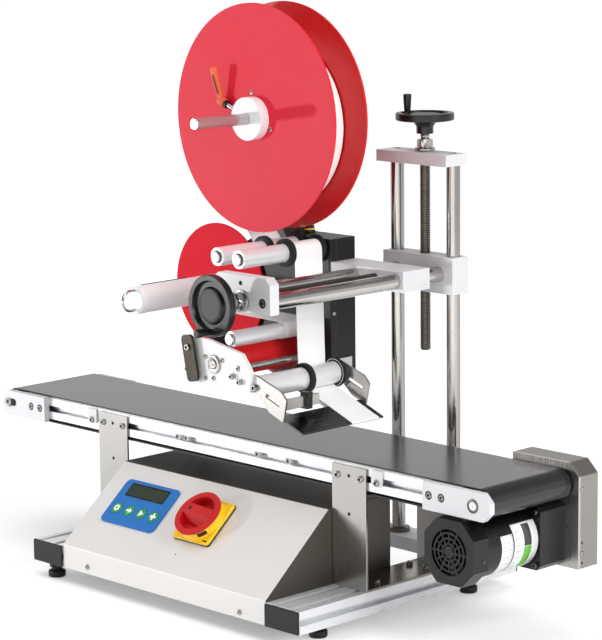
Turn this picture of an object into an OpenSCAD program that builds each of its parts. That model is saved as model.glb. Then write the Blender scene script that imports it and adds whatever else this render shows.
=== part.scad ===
// Bench top labeling machine: a short belt conveyor on two slotted profiles, with a label head that
// is carried by a crossing arm on a two-post column. Millimetres, +X along the belt, +Y to the rear, +Z up.
// The pieces are placed from a datum: the front lower left corner of the right base profile.

/* [Base] */
// Distance between the left faces of the two base profiles
base_pitch = 456; // [400:1:540]
// Width of a base profile
profile_w = 60; // [50:1:80]
// Height of a base profile
profile_h = 30; // [28:1:40]
// Length of a base profile
profile_len = 400; // [380:1:480]
// Mouth width of the slots in the profiles
slot_w = 8; // [6:0.5:9]
// Inner width of the slots
slot_in = 12; // [10:0.5:13]
// Depth of the slots
slot_depth = 8; // [6:0.5:9]
// Depth of the slot's narrow mouth
slot_neck = 3; // [2:0.5:4]
// Diameter of a foot
foot_d = 24; // [18:1:40]
// Height of a foot
foot_h = 20; // [12:1:30]
// Distance of a foot's axis from the profile's end
foot_inset = 61; // [30:1:100]
// Distance of the left front foot's axis from the profile's end
foot_inset_left = 13; // [12:1:100]

/* [Console] */
// Height of the upright lip at the front of the console
lip_h = 32; // [20:1:45]
// Depth of the sloping panel, measured on the ground
slope_y = 111; // [90:1:112]
// Height of the console's flat top
console_h = 128; // [110:1:140]
// Depth of the console
console_d = 223; // [200:1:270]
// Sheet thickness of the console
console_wall = 2; // [1:0.5:4]
// Gap between the console and the base profiles
console_gap = 0.4; // [0.2:0.1:1]
// Width of the keypad
keypad_w = 107; // [100:1:130]
// Height of the keypad along the slope
keypad_l = 72; // [60:1:80]
// Thickness of the keypad
keypad_t = 2; // [1.5:0.1:4]
// Keypad centre, from the left edge of the console
keypad_x = 87; // [70:1:110]
// Keypad and switch centre, up the slope from the lip
panel_v = 85; // [70:1:95]
// Corner radius of the keypad
keypad_r = 8; // [3:0.5:15]
// Diameter of a key
key_d = 17; // [12:0.5:20]
// Distance between the keys
key_pitch = 24.4; // [22:0.1:28]
// Keys below the keypad's centre line
key_drop = 12; // [8:0.5:20]
// Thickness of a key
key_t = 1.4; // [1:0.1:2]
// Travel of a key
key_travel = 0.8; // [0.4:0.1:1]
// Gap left under a pressed key
key_stop = 0.2; // [0.1:0.1:0.4]
// Side of the square switch plate
switch_w = 67; // [66:1:78]
// Thickness of the switch plate
switch_t = 6; // [3:0.5:8]
// Corner radius of the switch plate
switch_r = 4; // [1:0.5:8]
// Switch centre, from the left edge of the console
switch_x = 215; // [190:1:300]
// Height of the collar on the switch plate
collar_up = 11; // [6:0.5:14]
// Diameter of the collar at the switch plate
collar_foot_d = 65; // [62:0.5:66]
// Diameter of the collar under the knob's ring
collar_top_d = 61; // [59:0.5:62]
// Outer diameter of the switch knob's ring
knob_d = 68; // [60:1:74]
// Thickness of the knob's ring
knob_ring_t = 3.5; // [2:0.5:5]
// Diameter of the knob's bowl inside the collar
bowl_d = 56; // [48:0.5:57]
// Wall and floor of the knob's bowl
bowl_wall = 2; // [1.5:0.5:4]
// Width of the grip bar's top in the knob
knob_bar = 13; // [8:1:18]
// Added width of the grip bar's foot on its near side
knob_bar_foot = 13; // [4:1:16]
// Shift of the grip bar from the knob's middle
knob_bar_off = 4; // [0:0.5:6]
// Step from the knob's ring up to the grip bar's top
knob_step = 1; // [0:0.5:4]
// Angle of the grip bar on the panel
knob_turn = -4; // [-80:1:80]
// Diameter of the switch spindle
spindle_d = 16; // [10:1:20]
// Width of the control board
board_w = 200; // [120:1:300]
// Depth of the control board
board_d = 84; // [60:1:90]
// Thickness of the control board
board_t = 2; // [1:0.5:4]
// Length of the control board's standoffs
standoff_h = 14; // [8:1:30]
// Diameter of a standoff
standoff_d = 7; // [5:0.5:10]
// Gap between the board and the upper end of the slope
board_gap = 12; // [8:1:30]

/* [Conveyor] */
// Distance of the near rail's outer face from the front end of the profiles
conveyor_y = 120; // [114:1:140]
// Width over the outer faces of the two rails
conveyor_w = 152; // [140:1:160]
// Height of the belt's top face above the profiles' underside
belt_top = 193; // [188:1:230]
// Thickness of the belt
belt_t = 2; // [1:0.5:3]
// Margin of the belt inside the rails' outer faces
belt_margin = 3; // [2:0.5:10]
// Inset of the belt rollers' ends from the belt's edges
roller_inset = 1; // [0.5:0.5:4]
// Reach of the tail roller's axis to the left of the datum
tail_reach = 647; // [600:1:760]
// Reach of the drive roller's axis to the right of the datum
drive_reach = 243; // [236:1:280]
// Diameter of the belt rollers
roller_d = 34; // [30:1:38]
// Diameter of the belt rollers' shafts
roller_shaft_d = 12; // [8:1:14]
// Recess of the shafts' ends in the end plates
shaft_recess = 1; // [0.5:0.5:3]
// Side of the square rails
rail_s = 30; // [28:1:31]
// Gap between a rail's end and the roller
rail_end_gap = 8; // [4:1:20]
// Thickness of the slider bed under the belt
bed_t = 1; // [0.5:0.5:2]
// Thickness of the end plates
end_plate_t = 9; // [6:0.5:9]
// Height of the end plates
end_plate_h = 35; // [32:1:36]
// Length of the right end plate
right_plate_l = 109; // [90:1:140]
// Reach of the right end plate past the roller's axis
right_plate_over = 27; // [24:1:28]
// Chamfer at the right end plate's corners
right_plate_c = 11; // [6:1:14]
// Length of the left end plates behind the roller's axis
left_plate_l = 79; // [60:1:110]
// Sheet thickness of the support brackets
bracket_t = 3; // [2:0.5:4]
// Height of the support brackets' legs above the profile
bracket_h = 158; // [145:1:159]

/* [Drive] */
// Side of the gearmotor's square frame
motor_s = 80; // [60:1:80]
// Motor axis to the left of the drive roller's axis
motor_dx = 33; // [20:1:45]
// Motor axis below the drive roller's axis
motor_dz = 61.7; // [61.5:0.1:66]
// Length of the gearhead
gearhead_l = 46; // [40:1:80]
// Length of the motor body
motor_l = 95; // [60:1:96]
// Length of the motor's fan cover
fan_l = 26; // [12:1:26]
// Diameter of the motor body
motor_body_d = 78; // [50:1:78]
// Corner chamfer of the gearhead
gearhead_c = 6; // [3:0.5:10]
// Corner chamfer of the fan cover
fan_c = 20; // [12:1:23]
// Width of the fan cover's rim round its opening
fan_rim = 9; // [5:0.5:12]
// Depth of the fan cover's opening
fan_in = 7; // [4:0.5:9]
// Thickness of the drive plate
drive_plate_t = 4; // [3:0.5:6]
// Depth of the drive cover
cover_d = 33; // [28:1:50]
// Sheet thickness of the drive cover
cover_wall = 1.5; // [1:0.5:3]
// Reach of the drive cover past the roller's axis
cover_over = 29; // [28:1:36]
// Reach of the drive cover to the left of the motor's axis
cover_left = 45; // [42:1:60]
// Reach of the drive cover above the roller's axis
cover_up = 28; // [26:1:40]
// Reach of the drive cover below the motor's axis
cover_down = 43; // [40:1:60]
// Chamfer at the cover's top right corner
cover_c = 16; // [5:1:18]
// Diameter of the toothed pulleys
pulley_d = 32; // [24:1:36]
// Width of the toothed pulleys
pulley_w = 12; // [8:1:16]
// Thickness of the toothed belt
tooth_belt_t = 2; // [1:0.5:3]
// Gap between the drive plate and the pulleys
pulley_gap = 8; // [4:1:10]
// Shaft end past a toothed pulley
pulley_over = 2; // [1:0.5:4]
// Inset of the toothed belt from the pulleys' ends
tooth_belt_inset = 1; // [0.5:0.5:2]
// Depth of the output shaft in the gearhead
output_l = 10; // [6:1:20]

/* [Column] */
// Column centre, to the left of the datum
column_reach = 28.5; // [10:0.5:60]
// Distance of the posts from the front end of the profiles
post_y = 320; // [315:1:360]
// Distance between the two posts
post_pitch = 99; // [90:1:130]
// Diameter of a post
post_d = 18; // [14:0.5:20]
// Thickness of the rear cross plate
cross_plate_t = 18; // [14:1:25]
// Depth of the rear cross plate
cross_plate_d = 44; // [34:1:70]
// Depth of the post sockets in the cross plate
socket_depth = 12; // [6:1:13]
// Height of the top plate's upper face above the profiles' underside
column_h = 561; // [540:1:640]
// Thickness of the top plate
top_plate_t = 15; // [10:1:25]
// Margin of the top plate and the lift block past a post's axis
post_margin = 12; // [11.5:0.5:20]
// Reach of the top plate in front of the posts
top_plate_front = 27; // [16:1:40]
// Reach of the top plate behind the posts
top_plate_back = 13; // [11:0.5:30]
// Diameter of the lift and cross screws
screw_d = 14; // [12:0.5:16]
// Diameter of the screws' journals
journal_d = 10; // [8:0.5:11]
// Height of the lift screw's lower end
lift_screw_foot = 300; // [240:1:320]
// Across corners of the screws' hexagon nuts
hex_d = 21; // [16:1:26]
// Height of the hexagon nut on the lift screw
hex_h = 11; // [6:1:14]
// Diameter of the thrust washer under the nut
washer_d = 27; // [22:1:34]
// Thickness of the thrust washer
washer_t = 4; // [2:0.5:6]

/* [Handwheels] */
// Diameter of a handwheel
wheel_d = 76; // [70:1:100]
// Width of a handwheel's rim
rim_w = 7; // [5:0.5:9]
// Depth of a handwheel's rim along its axis
rim_l = 10; // [8:1:16]
// Diameter of a handwheel's hub
wheel_hub_d = 22; // [18:1:26]
// Length of a handwheel's hub behind the rim
wheel_hub_l = 17; // [14:1:30]
// Diameter of the raised boss inside the dish
wheel_boss_d = 42; // [34:1:46]
// Thickness of the disc between hub and rim
wheel_web_t = 4; // [3:0.5:6]
// Step between the disc's back and the hub's end
wheel_web_step = 1; // [0.5:0.5:3]
// Flare of a handwheel's hub where it meets the disc
hub_flare = 4; // [2:0.5:6]
// Chamfer of a handwheel's rim
rim_c = 1; // [0.5:0.5:2]
// Slope of a handwheel's inner walls
dish_draft = 2; // [1:0.5:3]
// Diameter of a revolving grip
grip_d = 11; // [9:0.5:13]
// Length of a revolving grip
grip_l = 22; // [18:1:40]
// Diameter of the pin inside a grip
grip_pin_d = 5; // [4:0.5:6]
// Distance of the grip's axis from the wheel's axis
grip_r = 31; // [28:0.5:34]
// Angle of the lift wheel's grip
lift_grip_angle = 180; // [-180:5:180]
// Angle of the cross wheel's grip
cross_grip_angle = -90; // [-180:5:180]
// Thickness of a grip's closed end
grip_end_t = 2; // [1:0.5:4]
// Taper of a grip towards the wheel
grip_taper = 1.2; // [0.5:0.1:2]

/* [Arm] */
// Height of the arm's axis above the profiles' underside
arm_z = 405; // [400:1:420]
// Depth of the lift block
lift_block_d = 30; // [28:1:40]
// Reach of the lift block below the arm's axis
lift_block_down = 25; // [16:1:40]
// Reach of the lift block above the arm's axis
lift_block_up = 23; // [16:1:40]
// Diameter of the guide shafts
shaft_d = 20; // [16:0.5:22]
// Distance between the guide shafts
shaft_pitch = 73; // [70:0.5:76]
// Depth of the shaft sockets in the lift block
shaft_socket = 5; // [3:0.5:5.5]
// Distance of the front block's front face ahead of the datum
front_block_reach = 6; // [0:1:60]
// Thickness of the front block
front_block_t = 15; // [12:1:25]
// Margin of the front block past a shaft's axis
front_block_margin = 13.5; // [12:0.5:20]
// Reach of the front block above the arm's axis
front_block_up = 31.5; // [14:0.5:40]
// Reach of the front block below the arm's axis
front_block_down = 13.5; // [12:0.5:20]
// Chamfer at the front block's upper corners
front_block_c = 8; // [2:1:12]
// Depth of the shaft sockets in the front block
front_socket = 8; // [4:1:10]
// Length of the round nut on the cross screw
cross_nut_l = 19; // [10:1:22]
// Bare journal between the nut and the handwheel
journal_bare = 7; // [3:1:12]

/* [Carriage] */
// Distance of the carriage's front face from the front end of the profiles
carriage_y = 225; // [215:1:235]
// Depth of the carriage
carriage_d = 49; // [40:1:51]
// Margin of the carriage past the right shaft's axis
carriage_margin = 14; // [12:0.5:20]
// Reach of the carriage above and below the arm's axis
carriage_half = 13.5; // [12.5:0.5:20]

/* [Head] */
// Right edge of the head's main plate, to the left of the datum
head_reach = 107; // [104:1:112]
// Thickness of the main plate
main_plate_t = 10; // [8:0.5:12]
// Height of the main plate's lower edge
head_bottom = 268; // [262:1:270]
// Height of the main plate's upper edge
head_top = 448; // [446:0.5:450]
// Width of the main plate and the housing
head_w = 128; // [124:1:150]
// Depth of the housing behind the main plate
housing_d = 35; // [34:1:60]
// Sheet thickness of the housing
housing_wall = 2; // [1:0.5:4]
// Width of the reel arm
reel_arm_w = 40; // [30:1:60]
// Radius of the main plate round the rewinder
rewind_lobe_r = 40; // [30:1:50]
// Distance of the side plate's front face from the front end of the profiles
side_plate_y = 74; // [60:1:76]
// Thickness of the side plate
side_plate_t = 6; // [4:0.5:8]
// Reach of the side plate to the left of the pinch pivot
side_left = 22.4; // [18:0.2:26]
// Reach of the side plate's top edge to the right of the pinch pivot
side_top_l = 28.6; // [20:0.2:34]
// Height of the side plate's top edge above the pinch pivot
side_top_up = 12.7; // [10:0.1:16]
// Reach of the side plate's shoulder to the right of the feed roller
shoulder_l = 52; // [46:1:56]
// Height of the side plate's shoulder above the feed roller's axis
shoulder_up = 19.5; // [14:0.5:20]
// Gap between the side plate's right edge and the lower roller's axis
side_right_gap = 4; // [2:0.5:8]
// Right tie rod, to the right of the feed roller's axis
tie_right_dx = 45; // [40:0.5:48]
// Right tie rod above the feed roller's axis
tie_right_up = 0; // [-1:0.5:4]
// Left tie rod, to the left of the feed roller's axis
tie_left_dx = 53; // [48:0.5:56]
// Left tie rod below the feed roller's axis
tie_left_drop = 13; // [10:0.5:18]
// Diameter of the roller axles and tie rods
axle_d = 8; // [6:0.5:10]
// Diameter of the head on an axle's free end
axle_head_d = 15; // [12:0.5:16]
// Thickness of the head on an axle's free end
axle_head_t = 3; // [2:0.5:5]
// Gap between the side plate and the free axles' ends
axle_gap = 3; // [2:0.5:8]
// Side of the feed motor
feed_motor_s = 42; // [35:1:46]
// Length of the feed motor
feed_motor_l = 31; // [20:1:31.5]
// Corner chamfer of the feed motor
feed_motor_c = 4; // [2:0.5:8]
// Depth of the feed shaft in its motor
feed_shaft_in = 10; // [6:1:18]

/* [Label reel] */
// Reel axis, to the left of the datum
reel_reach = 185; // [180:1:192]
// Height of the reel's axis above the profiles' underside
reel_z = 605; // [602:1:640]
// Diameter of the reel's flanges
flange_d = 296; // [240:1:302]
// Thickness of a flange
flange_t = 3; // [2:0.5:4]
// Gap between the flanges and the plate or the web
flange_gap = 2; // [1:0.5:4]
// Gap between the back flange and the main plate
back_gap = 1; // [0.5:0.5:2]
// Diameter of the stop rings behind the main plate
stop_ring_d = 27; // [22:1:34]
// Length of the stop rings
stop_ring_l = 7.5; // [4:0.5:9]
// Shaft ends past the main plate
shaft_over = 12; // [10:1:20]
// Diameter of the label roll
roll_d = 218; // [120:1:260]
// Width of the label web
web_w = 49; // [30:1:51]
// Distance of the web's near edge from the front end of the profiles
web_y = 170; // [168:0.5:180]
// Diameter of the roll's core
core_d = 76; // [60:1:80]
// Diameter of the hub that the roll's core hangs on
hub_d = 56; // [36:1:58]
// Diameter of the reel's shaft
reel_shaft_d = 15; // [10:0.5:18]
// Free length of the reel's shaft ahead of the collar
reel_shaft_free = 90; // [60:1:110]
// Diameter of the collar on the front flange
collar_d = 56; // [40:1:70]
// Length of the collar
collar_l = 14; // [12:1:24]
// Angle of the clamping lever's stud on the collar
lever_angle = 160; // [120:1:200]
// Diameter of the clamping lever's stud
stud_d = 6; // [4:0.5:8]
// Bare length of the stud outside the collar
stud_free = 20; // [12:1:26]
// Depth of the stud in the collar
stud_in = 12; // [8:1:14]
// Diameter of the clamping lever's hub
lever_hub_d = 13; // [8:0.5:13]
// Length of the clamping lever's hub
lever_hub_l = 14; // [10:0.5:18]
// Distance of the lever's arm from the hub's inner end
lever_arm_x = 8; // [5:0.5:9]
// Length of the clamping lever's arm
lever_l = 43; // [30:1:60]
// Width of the clamping lever's arm
lever_w = 9; // [6:0.5:12]
// Outward lean of the clamping lever's arm
lever_lean = 23; // [0:1:34]
// Turn of the clamping lever's arm away from the flange
lever_turn = 17; // [0:1:40]

/* [Web path] */
// Thickness of the label web
web_t = 0.4; // [0.3:0.1:0.6]
// Diameter of the two upper guide rollers
guide_d = 24; // [18:0.5:25]
// Right guide roller, to the left of the datum
guide_right = 130; // [128:0.5:134]
// Distance between the guide rollers
guide_pitch = 40; // [35:0.5:44]
// Height of the guide rollers' axes
guide_z = 435; // [430:0.5:437]
// Diameter of the web collars on the guide rollers
web_collar_d = 32; // [28:0.5:33]
// Height of the web collars on the lower roller
lower_collar_h = 3.5; // [2:0.5:4]
// Width of a web collar
web_collar_w = 5; // [3:0.5:5]
// Lower roller, to the left of the datum
lower_reach = 98; // [96:0.5:100]
// Height of the lower roller's axis
lower_z = 275; // [273:0.5:277]
// Diameter of the lower roller
lower_d = 29; // [24:0.5:30]
// Peel edge, to the left of the datum
tip_reach = 17.5; // [10:0.5:24]
// Height of the peel edge
tip_z = 226; // [222:0.5:230]
// Thickness of the peel plate
peel_t = 2.5; // [1.5:0.5:3]
// Length of the peel plate along its slope
peel_l = 44; // [38:1:50]
// Feed roller, to the left of the datum
feed_reach = 169; // [167:0.5:171]
// Height of the feed roller's axis
feed_z = 297; // [295:0.5:299]
// Diameter of the feed roller
feed_d = 40; // [36:0.5:41]
// Diameter of the feed roller's shaft
feed_shaft_d = 12; // [8:0.5:14]
// Feed shaft's end past the side plate
feed_shaft_over = 2; // [1:0.5:4]
// Idler roller, to the left of the datum
idler_reach = 146; // [144:0.5:148]
// Height of the idler roller's axis
idler_z = 331; // [330:0.5:334]
// Diameter of the idler roller
idler_d = 21; // [18:0.5:22]
// Rewinder axis, to the left of the datum
rewind_reach = 317; // [312:1:330]
// Height of the rewinder's axis
rewind_z = 364; // [360:1:370]
// Diameter of the rewinder's flange
rewind_flange_d = 174; // [120:1:176]
// Diameter of the rewinder's mandrel
mandrel_d = 37; // [36:1:50]
// Distance of the mandrel's front end from the front end of the profiles
mandrel_y = 68; // [60:1:90]
// Diameter of the wire clip on the mandrel
clip_d = 4; // [3:0.5:5]
// Distance between the wire clip's legs
clip_pitch = 26; // [20:1:28]
// Reach of the wire clip ahead of the mandrel
clip_free = 20; // [16:1:40]
// Depth of the wire clip's legs in the mandrel
clip_depth = 34; // [20:1:60]

/* [Pinch] */
// Pinch pivot, to the left of the feed roller's axis
pivot_dx = 40.6; // [40:0.2:44]
// Pinch pivot above the feed roller's axis
pivot_dz = 18.3; // [16:0.1:20]
// Diameter of the pinch roller
pinch_d = 20; // [16:0.5:20.5]
// Direction of the pinch roller from the feed roller's axis
pinch_angle = 140; // [138:1:144]
// Diameter of the pinch roller's shaft
pinch_shaft_d = 6; // [4:0.5:7]
// Thickness of the pinch arms
pinch_arm_t = 3; // [2:0.5:3.2]
// Margin of the pinch arms round the roller's shaft
pinch_arm_m = 3; // [2:0.5:3]
// Gap between the side plate and the feed and pinch rollers
roller_gap = 4; // [3:0.5:6]
// Play of the pinch roller on the web
pinch_play = 0.2; // [0.1:0.05:0.3]
// Width of the pressure lever
press_lever_w = 21; // [14:0.5:24]
// Length of the pressure lever below its pivot
press_lever_l = 45; // [35:1:48]
// Length of the pressure lever above its pivot
press_lever_up = 16; // [6:1:18]
// Thickness of the pressure lever
press_lever_t = 4; // [3:0.5:6]
// Angle of the pressure lever below the horizontal
press_lever_angle = 78; // [74:1:82]
// Gap between the pressure lever and the side plate
press_lever_gap = 5; // [4.5:0.5:8]
// Corner radius of the pressure lever
press_lever_r = 6; // [2:0.5:6.5]
// Sheet thickness of the peel brackets
peel_bracket_t = 3; // [2:0.5:4]
// Far peel bracket behind the main plate's front face
far_bracket_in = 3; // [1:0.5:4]
// Reach of the near peel bracket to the left of the lower roller
near_bracket_l = 36; // [30:1:44]
// Height of the peel brackets above the lower roller's axis
bracket_up = 16; // [10:0.5:17]
// Depth of the peel brackets below the lower roller's axis
bracket_down = 7; // [5:0.5:7]
// Reach of the peel brackets past the lower roller
wing_l = 56; // [50:1:62]
// Drop of the peel brackets' outer corner below the lower roller's axis
wing_drop = 9; // [6:0.5:14]
// Chamfer at the peel brackets' outer corner
wing_c = 10; // [5:0.5:16]
// Distance of the brackets' lower corner from the peel edge
bracket_foot = 33; // [28:1:36]
// Length of the brackets' edge along the peel plate
bracket_foot_l = 27; // [18:1:32]
// Width of the adjusting slots in the peel brackets
adjust_w = 5; // [3:0.5:6]
// Length of the adjusting slots in the peel brackets
adjust_l = 26; // [14:1:28]
// Middle of the adjusting slots, to the right of the lower roller
adjust_dx = 31; // [26:1:36]
// Middle of the adjusting slots below the lower roller's axis
adjust_drop = 12; // [10:0.5:14]
// Thickness of the sensor bar on the near peel bracket
peel_bar_t = 4; // [3:0.5:6]
// Height of the sensor bar
peel_bar_h = 14; // [8:1:15]
// Sensor bar, to the right of the lower roller
peel_bar_dx = 47; // [42:1:48]
// Underside of the sensor bar below the lower roller's axis
peel_bar_drop = 23; // [20:0.5:24]
// Length of the sensor bar from the near peel bracket
peel_bar_l = 60; // [40:1:80]
// Depth of the far bracket's tab along the head
tab_l = 30; // [16:1:36]
// Height of the far bracket's tab
tab_h = 18; // [10:1:20]
// Tab above the head's lower edge
tab_up = 4; // [0:0.5:8]

/* [Fits] */
// Radial clearance of shafts and pins in their bores
run = 0.05; // [0.02:0.01:0.08]
// Radial clearance of the screws in their nuts
thread_run = 0.08; // [0.03:0.01:0.1]
// Radial clearance of fixed rods in their holes
fixed_fit = 0.02; // [0.01:0.01:0.05]
// Gap between curved faces that pass each other
clear = 0.3; // [0.3:0.05:0.5]
// Gap between end faces that turn against each other
end_gap = 0.5; // [0.3:0.1:0.6]

/* [Hidden] */
$fn = 64;

// Colours
c_alu = [0.86, 0.87, 0.88];
c_steel = [0.7, 0.71, 0.72];
c_sheet = [0.8, 0.8, 0.78];
c_black = [0.09, 0.09, 0.1];
c_red = [0.85, 0.1, 0.13];
c_paper = [0.97, 0.97, 0.95];
c_belt = [0.33, 0.33, 0.34];

// Overlap of joined forms and extra length of cuts
lap = 1;

// Overall extents, from which the origin below the middle of the machine follows
tail_x = -tail_reach;
drive_x = drive_reach;
belt_r = roller_d / 2 + clear + belt_t;
x_min = tail_x - max(end_plate_h / 2, belt_r);
x_max = drive_x + cover_over;
cross_hub_y = -front_block_reach - end_gap - cross_nut_l - journal_bare;
boss_end = wheel_hub_l + rim_l - dish_draft;
cross_rim_y = cross_hub_y - wheel_hub_l - rim_l;
y_min = cross_rim_y - clear - grip_l;
y_max = profile_len;
x_mid = (x_min + x_max) / 2;
y_mid = (y_min + y_max) / 2;

// Console
console_x = profile_w - base_pitch + console_gap;
console_w = base_pitch - profile_w - 2 * console_gap;
slope_angle = atan2(console_h - lip_h, slope_y);
key_lift = key_travel + key_stop;

// Conveyor
belt_bottom = belt_top - belt_t;
rail_top = belt_bottom - bed_t;
axis_z = belt_bottom - clear - roller_d / 2;
conveyor_back = conveyor_y + conveyor_w;
belt_y = conveyor_y + belt_margin;
belt_w = conveyor_w - 2 * belt_margin;
rail_x = tail_x + roller_d / 2 + rail_end_gap;
rail_l = drive_x - roller_d / 2 - rail_end_gap - rail_x;
roller_y = belt_y + roller_inset;
roller_l = belt_w - 2 * roller_inset;

// Drive
motor_x = drive_x - motor_dx;
motor_z = axis_z - motor_dz;
drive_back = conveyor_back + drive_plate_t;
pulley_y = drive_back + pulley_gap;
cover_end = drive_back + cover_d;
belt_span = norm([motor_dx, motor_dz]);
gearhead_y = conveyor_back - gearhead_l;
motor_y = gearhead_y - motor_l;

// Column and arm
column_x = -column_reach;
post_xs = [column_x - post_pitch / 2, column_x + post_pitch / 2];
plate_top = profile_h + cross_plate_t;
top_under = column_h - top_plate_t;
block_x = post_xs[0] - post_margin;
block_w = post_pitch + 2 * post_margin;
lift_front = post_y - lift_block_d / 2;
shaft_xs = [column_x - shaft_pitch / 2, column_x + shaft_pitch / 2];
front_y = -front_block_reach;
front_back = front_y + front_block_t;
lift_hub_z = column_h + end_gap + washer_t + hex_h + journal_bare;
carriage_x = -head_reach;
carriage_w = shaft_xs[1] + carriage_margin - carriage_x;

// Head
plate_y = carriage_y;
plate_back = plate_y + main_plate_t;
reel_x = -reel_reach;
roll_z = reel_z - (core_d - hub_d) / 2 + clear;
head_left = -head_reach - head_w;
rewind_x = -rewind_reach;
guide_xs = [-guide_right - guide_pitch, -guide_right];
lower_x = -lower_reach;
tip_x = -tip_reach;
feed_x = -feed_reach;
idler_x = -idler_reach;
side_back = side_plate_y + side_plate_t;
web_back = web_y + web_w;
rod_front = side_back + axle_gap;
roller_back = plate_y - end_gap;
tie_rods = [[feed_x + tie_right_dx, feed_z + tie_right_up], [feed_x - tie_left_dx, feed_z - tie_left_drop]];
back_flange_y = plate_y - back_gap - flange_t;
front_flange_y = web_y - flange_gap - flange_t;
hub_front = front_flange_y + flange_t + clear;
collar_y = front_flange_y - collar_l;
rewind_flange_y = plate_y - flange_gap - flange_t;
pivot_x = feed_x - pivot_dx;
pivot_z = feed_z + pivot_dz;
pinch_r = feed_d / 2 + clear + web_t + clear + pinch_d / 2 + pinch_play;
pinch_x = feed_x + pinch_r * cos(pinch_angle);
pinch_z = feed_z + pinch_r * sin(pinch_angle);
pinch_back = web_back + clear;
near_y = side_back;
far_y = plate_y + far_bracket_in;

// The web's path: each stop is [x, z, centre-line radius, sense], +1 where the web goes anticlockwise
function stop(x, z, d, sense) = [x, z, d / 2 + clear + web_t / 2, sense];
stops = [
  stop(reel_x, roll_z, roll_d, 1),
  stop(guide_xs[0], guide_z, guide_d, 1),
  stop(guide_xs[1], guide_z, guide_d, -1),
  stop(lower_x, lower_z, lower_d, 1),
  stop(tip_x, tip_z, peel_t, -1),
  stop(feed_x, feed_z, feed_d, -1),
  stop(idler_x, idler_z, idler_d, 1),
  stop(rewind_x, rewind_z, mandrel_d, -1)];
last = len(stops) - 1;
// Direction of the straight run from stop i to the next one
function run_angle(i) =
  let (a = stops[i], b = stops[i + 1], dx = b[0] - a[0], dz = b[1] - a[1])
  atan2(dz, dx) + asin((a[3] * a[2] - b[3] * b[2]) / norm([dx, dz]));
function wrap(a) = a - 360 * floor(a / 360);
// Directions that the web takes while it bends round stop i, in steps of up to this angle
bend_step = 12;
function bend(i) =
  let (s = stops[i][3], from = run_angle(i - 1))
  let (turn = wrap(s * (run_angle(i) - from)), n = ceil(turn / bend_step))
  [for (k = [0:n]) from + s * turn * k / n];
function side(i, a, off) =
  let (s = stops[i], r = s[3] * s[2] + off)
  [s[0] + r * sin(a), s[1] - r * cos(a)];
function web_edge(off) = concat(
  [side(0, run_angle(0), off)],
  [for (i = [1:last - 1]) for (a = bend(i)) side(i, a, off)],
  [side(last, run_angle(last - 1), off)]);
function reversed(v) = [for (k = [len(v) - 1:-1:0]) v[k]];
peel_angle = run_angle(3);

// Shared shapes
module placed() { translate([-x_mid, -y_mid, foot_h]) children(); }
module along_y(x, z, y0, y1, d) {
  translate([x, y0, z]) rotate([-90, 0, 0]) cylinder(d = d, h = y1 - y0);
}
module along_z(x, y, z0, z1, d) { translate([x, y, z0]) cylinder(d = d, h = z1 - z0); }
module upright(y0, t) { translate([0, y0 + t, 0]) rotate([90, 0, 0]) linear_extrude(t) children(); }
module sideways(x0, l) { translate([x0, 0, 0]) rotate([90, 0, 90]) linear_extrude(l) children(); }
module on_slope() { translate([console_x, 0, lip_h]) rotate([slope_angle, 0, 0]) children(); }

module slot_cut() {
  translate([-slot_w / 2, -slot_neck]) square([slot_w, slot_neck + 1]);
  translate([-slot_in / 2, -slot_depth]) square([slot_in, slot_depth - slot_neck]);
}

module slotted_section(w, h, count) {
  pitch = w / count;
  difference() {
    square([w, h]);
    for (i = [0:count - 1]) {
      translate([pitch * (i + 0.5), h]) slot_cut();
      translate([pitch * (i + 0.5), 0]) rotate(180) slot_cut();
    }
    translate([0, h / 2]) rotate(90) slot_cut();
    translate([w, h / 2]) rotate(-90) slot_cut();
  }
}

module rounded_square(w, l, r) {
  translate([-w / 2 + r, -l / 2]) square([w - 2 * r, l]);
  translate([-w / 2, -l / 2 + r]) square([w, l - 2 * r]);
  for (x = [-1, 1], y = [-1, 1]) translate([x * (w / 2 - r), y * (l / 2 - r)]) circle(r);
}

module chamfered_square(s, c) {
  h = s / 2;
  polygon([[c - h, -h], [h - c, -h], [h, c - h], [h, h - c],
    [h - c, h], [c - h, h], [-h, h - c], [-h, c - h]]);
}

module loop_section(span, r) {
  circle(r);
  translate([span, 0]) circle(r);
  translate([0, -r]) square([span, 2 * r]);
}

module tube_y(x, z, y0, y1, d, bore) {
  difference() {
    along_y(x, z, y0, y1, d);
    along_y(x, z, y0 - 1, y1 + 1, bore);
  }
}

// Base
module base_profiles() {
  color(c_alu) placed() for (x = [0, -base_pitch])
    translate([x, 0, 0]) upright(0, profile_len) slotted_section(profile_w, profile_h, 2);
}

module feet() {
  rear = profile_len - foot_inset;
  color(c_black) placed()
    for (at = [[0, foot_inset], [-base_pitch, foot_inset_left], [0, rear], [-base_pitch, rear]])
      along_z(at[0] + profile_w / 2, at[1], -foot_h, 0, foot_d);
}

// The console's side outline, drawn in by m and reaching down to z0
module console_outline(m, z0) {
  polygon([[m, z0], [m, lip_h - m * tan(45 - slope_angle / 2)],
    [slope_y + m * tan(slope_angle / 2), console_h - m], [console_d - m, console_h - m],
    [console_d - m, z0]]);
}

module console() {
  color(c_sheet) placed() difference() {
    sideways(console_x, console_w) console_outline(0, 0);
    sideways(console_x + console_wall, console_w - 2 * console_wall) console_outline(console_wall, -1);
  }
}

function key_x(i) = keypad_x + (i - 1.5) * key_pitch;

module keypad() {
  color([0.1, 0.45, 0.75]) placed() on_slope() difference() {
    translate([keypad_x, panel_v, 0]) linear_extrude(keypad_t) rounded_square(keypad_w, keypad_l, keypad_r);
    for (i = [0:3]) along_z(key_x(i), panel_v - key_drop, -1, keypad_t + 1, key_d + 2 * clear);
  }
}

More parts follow.
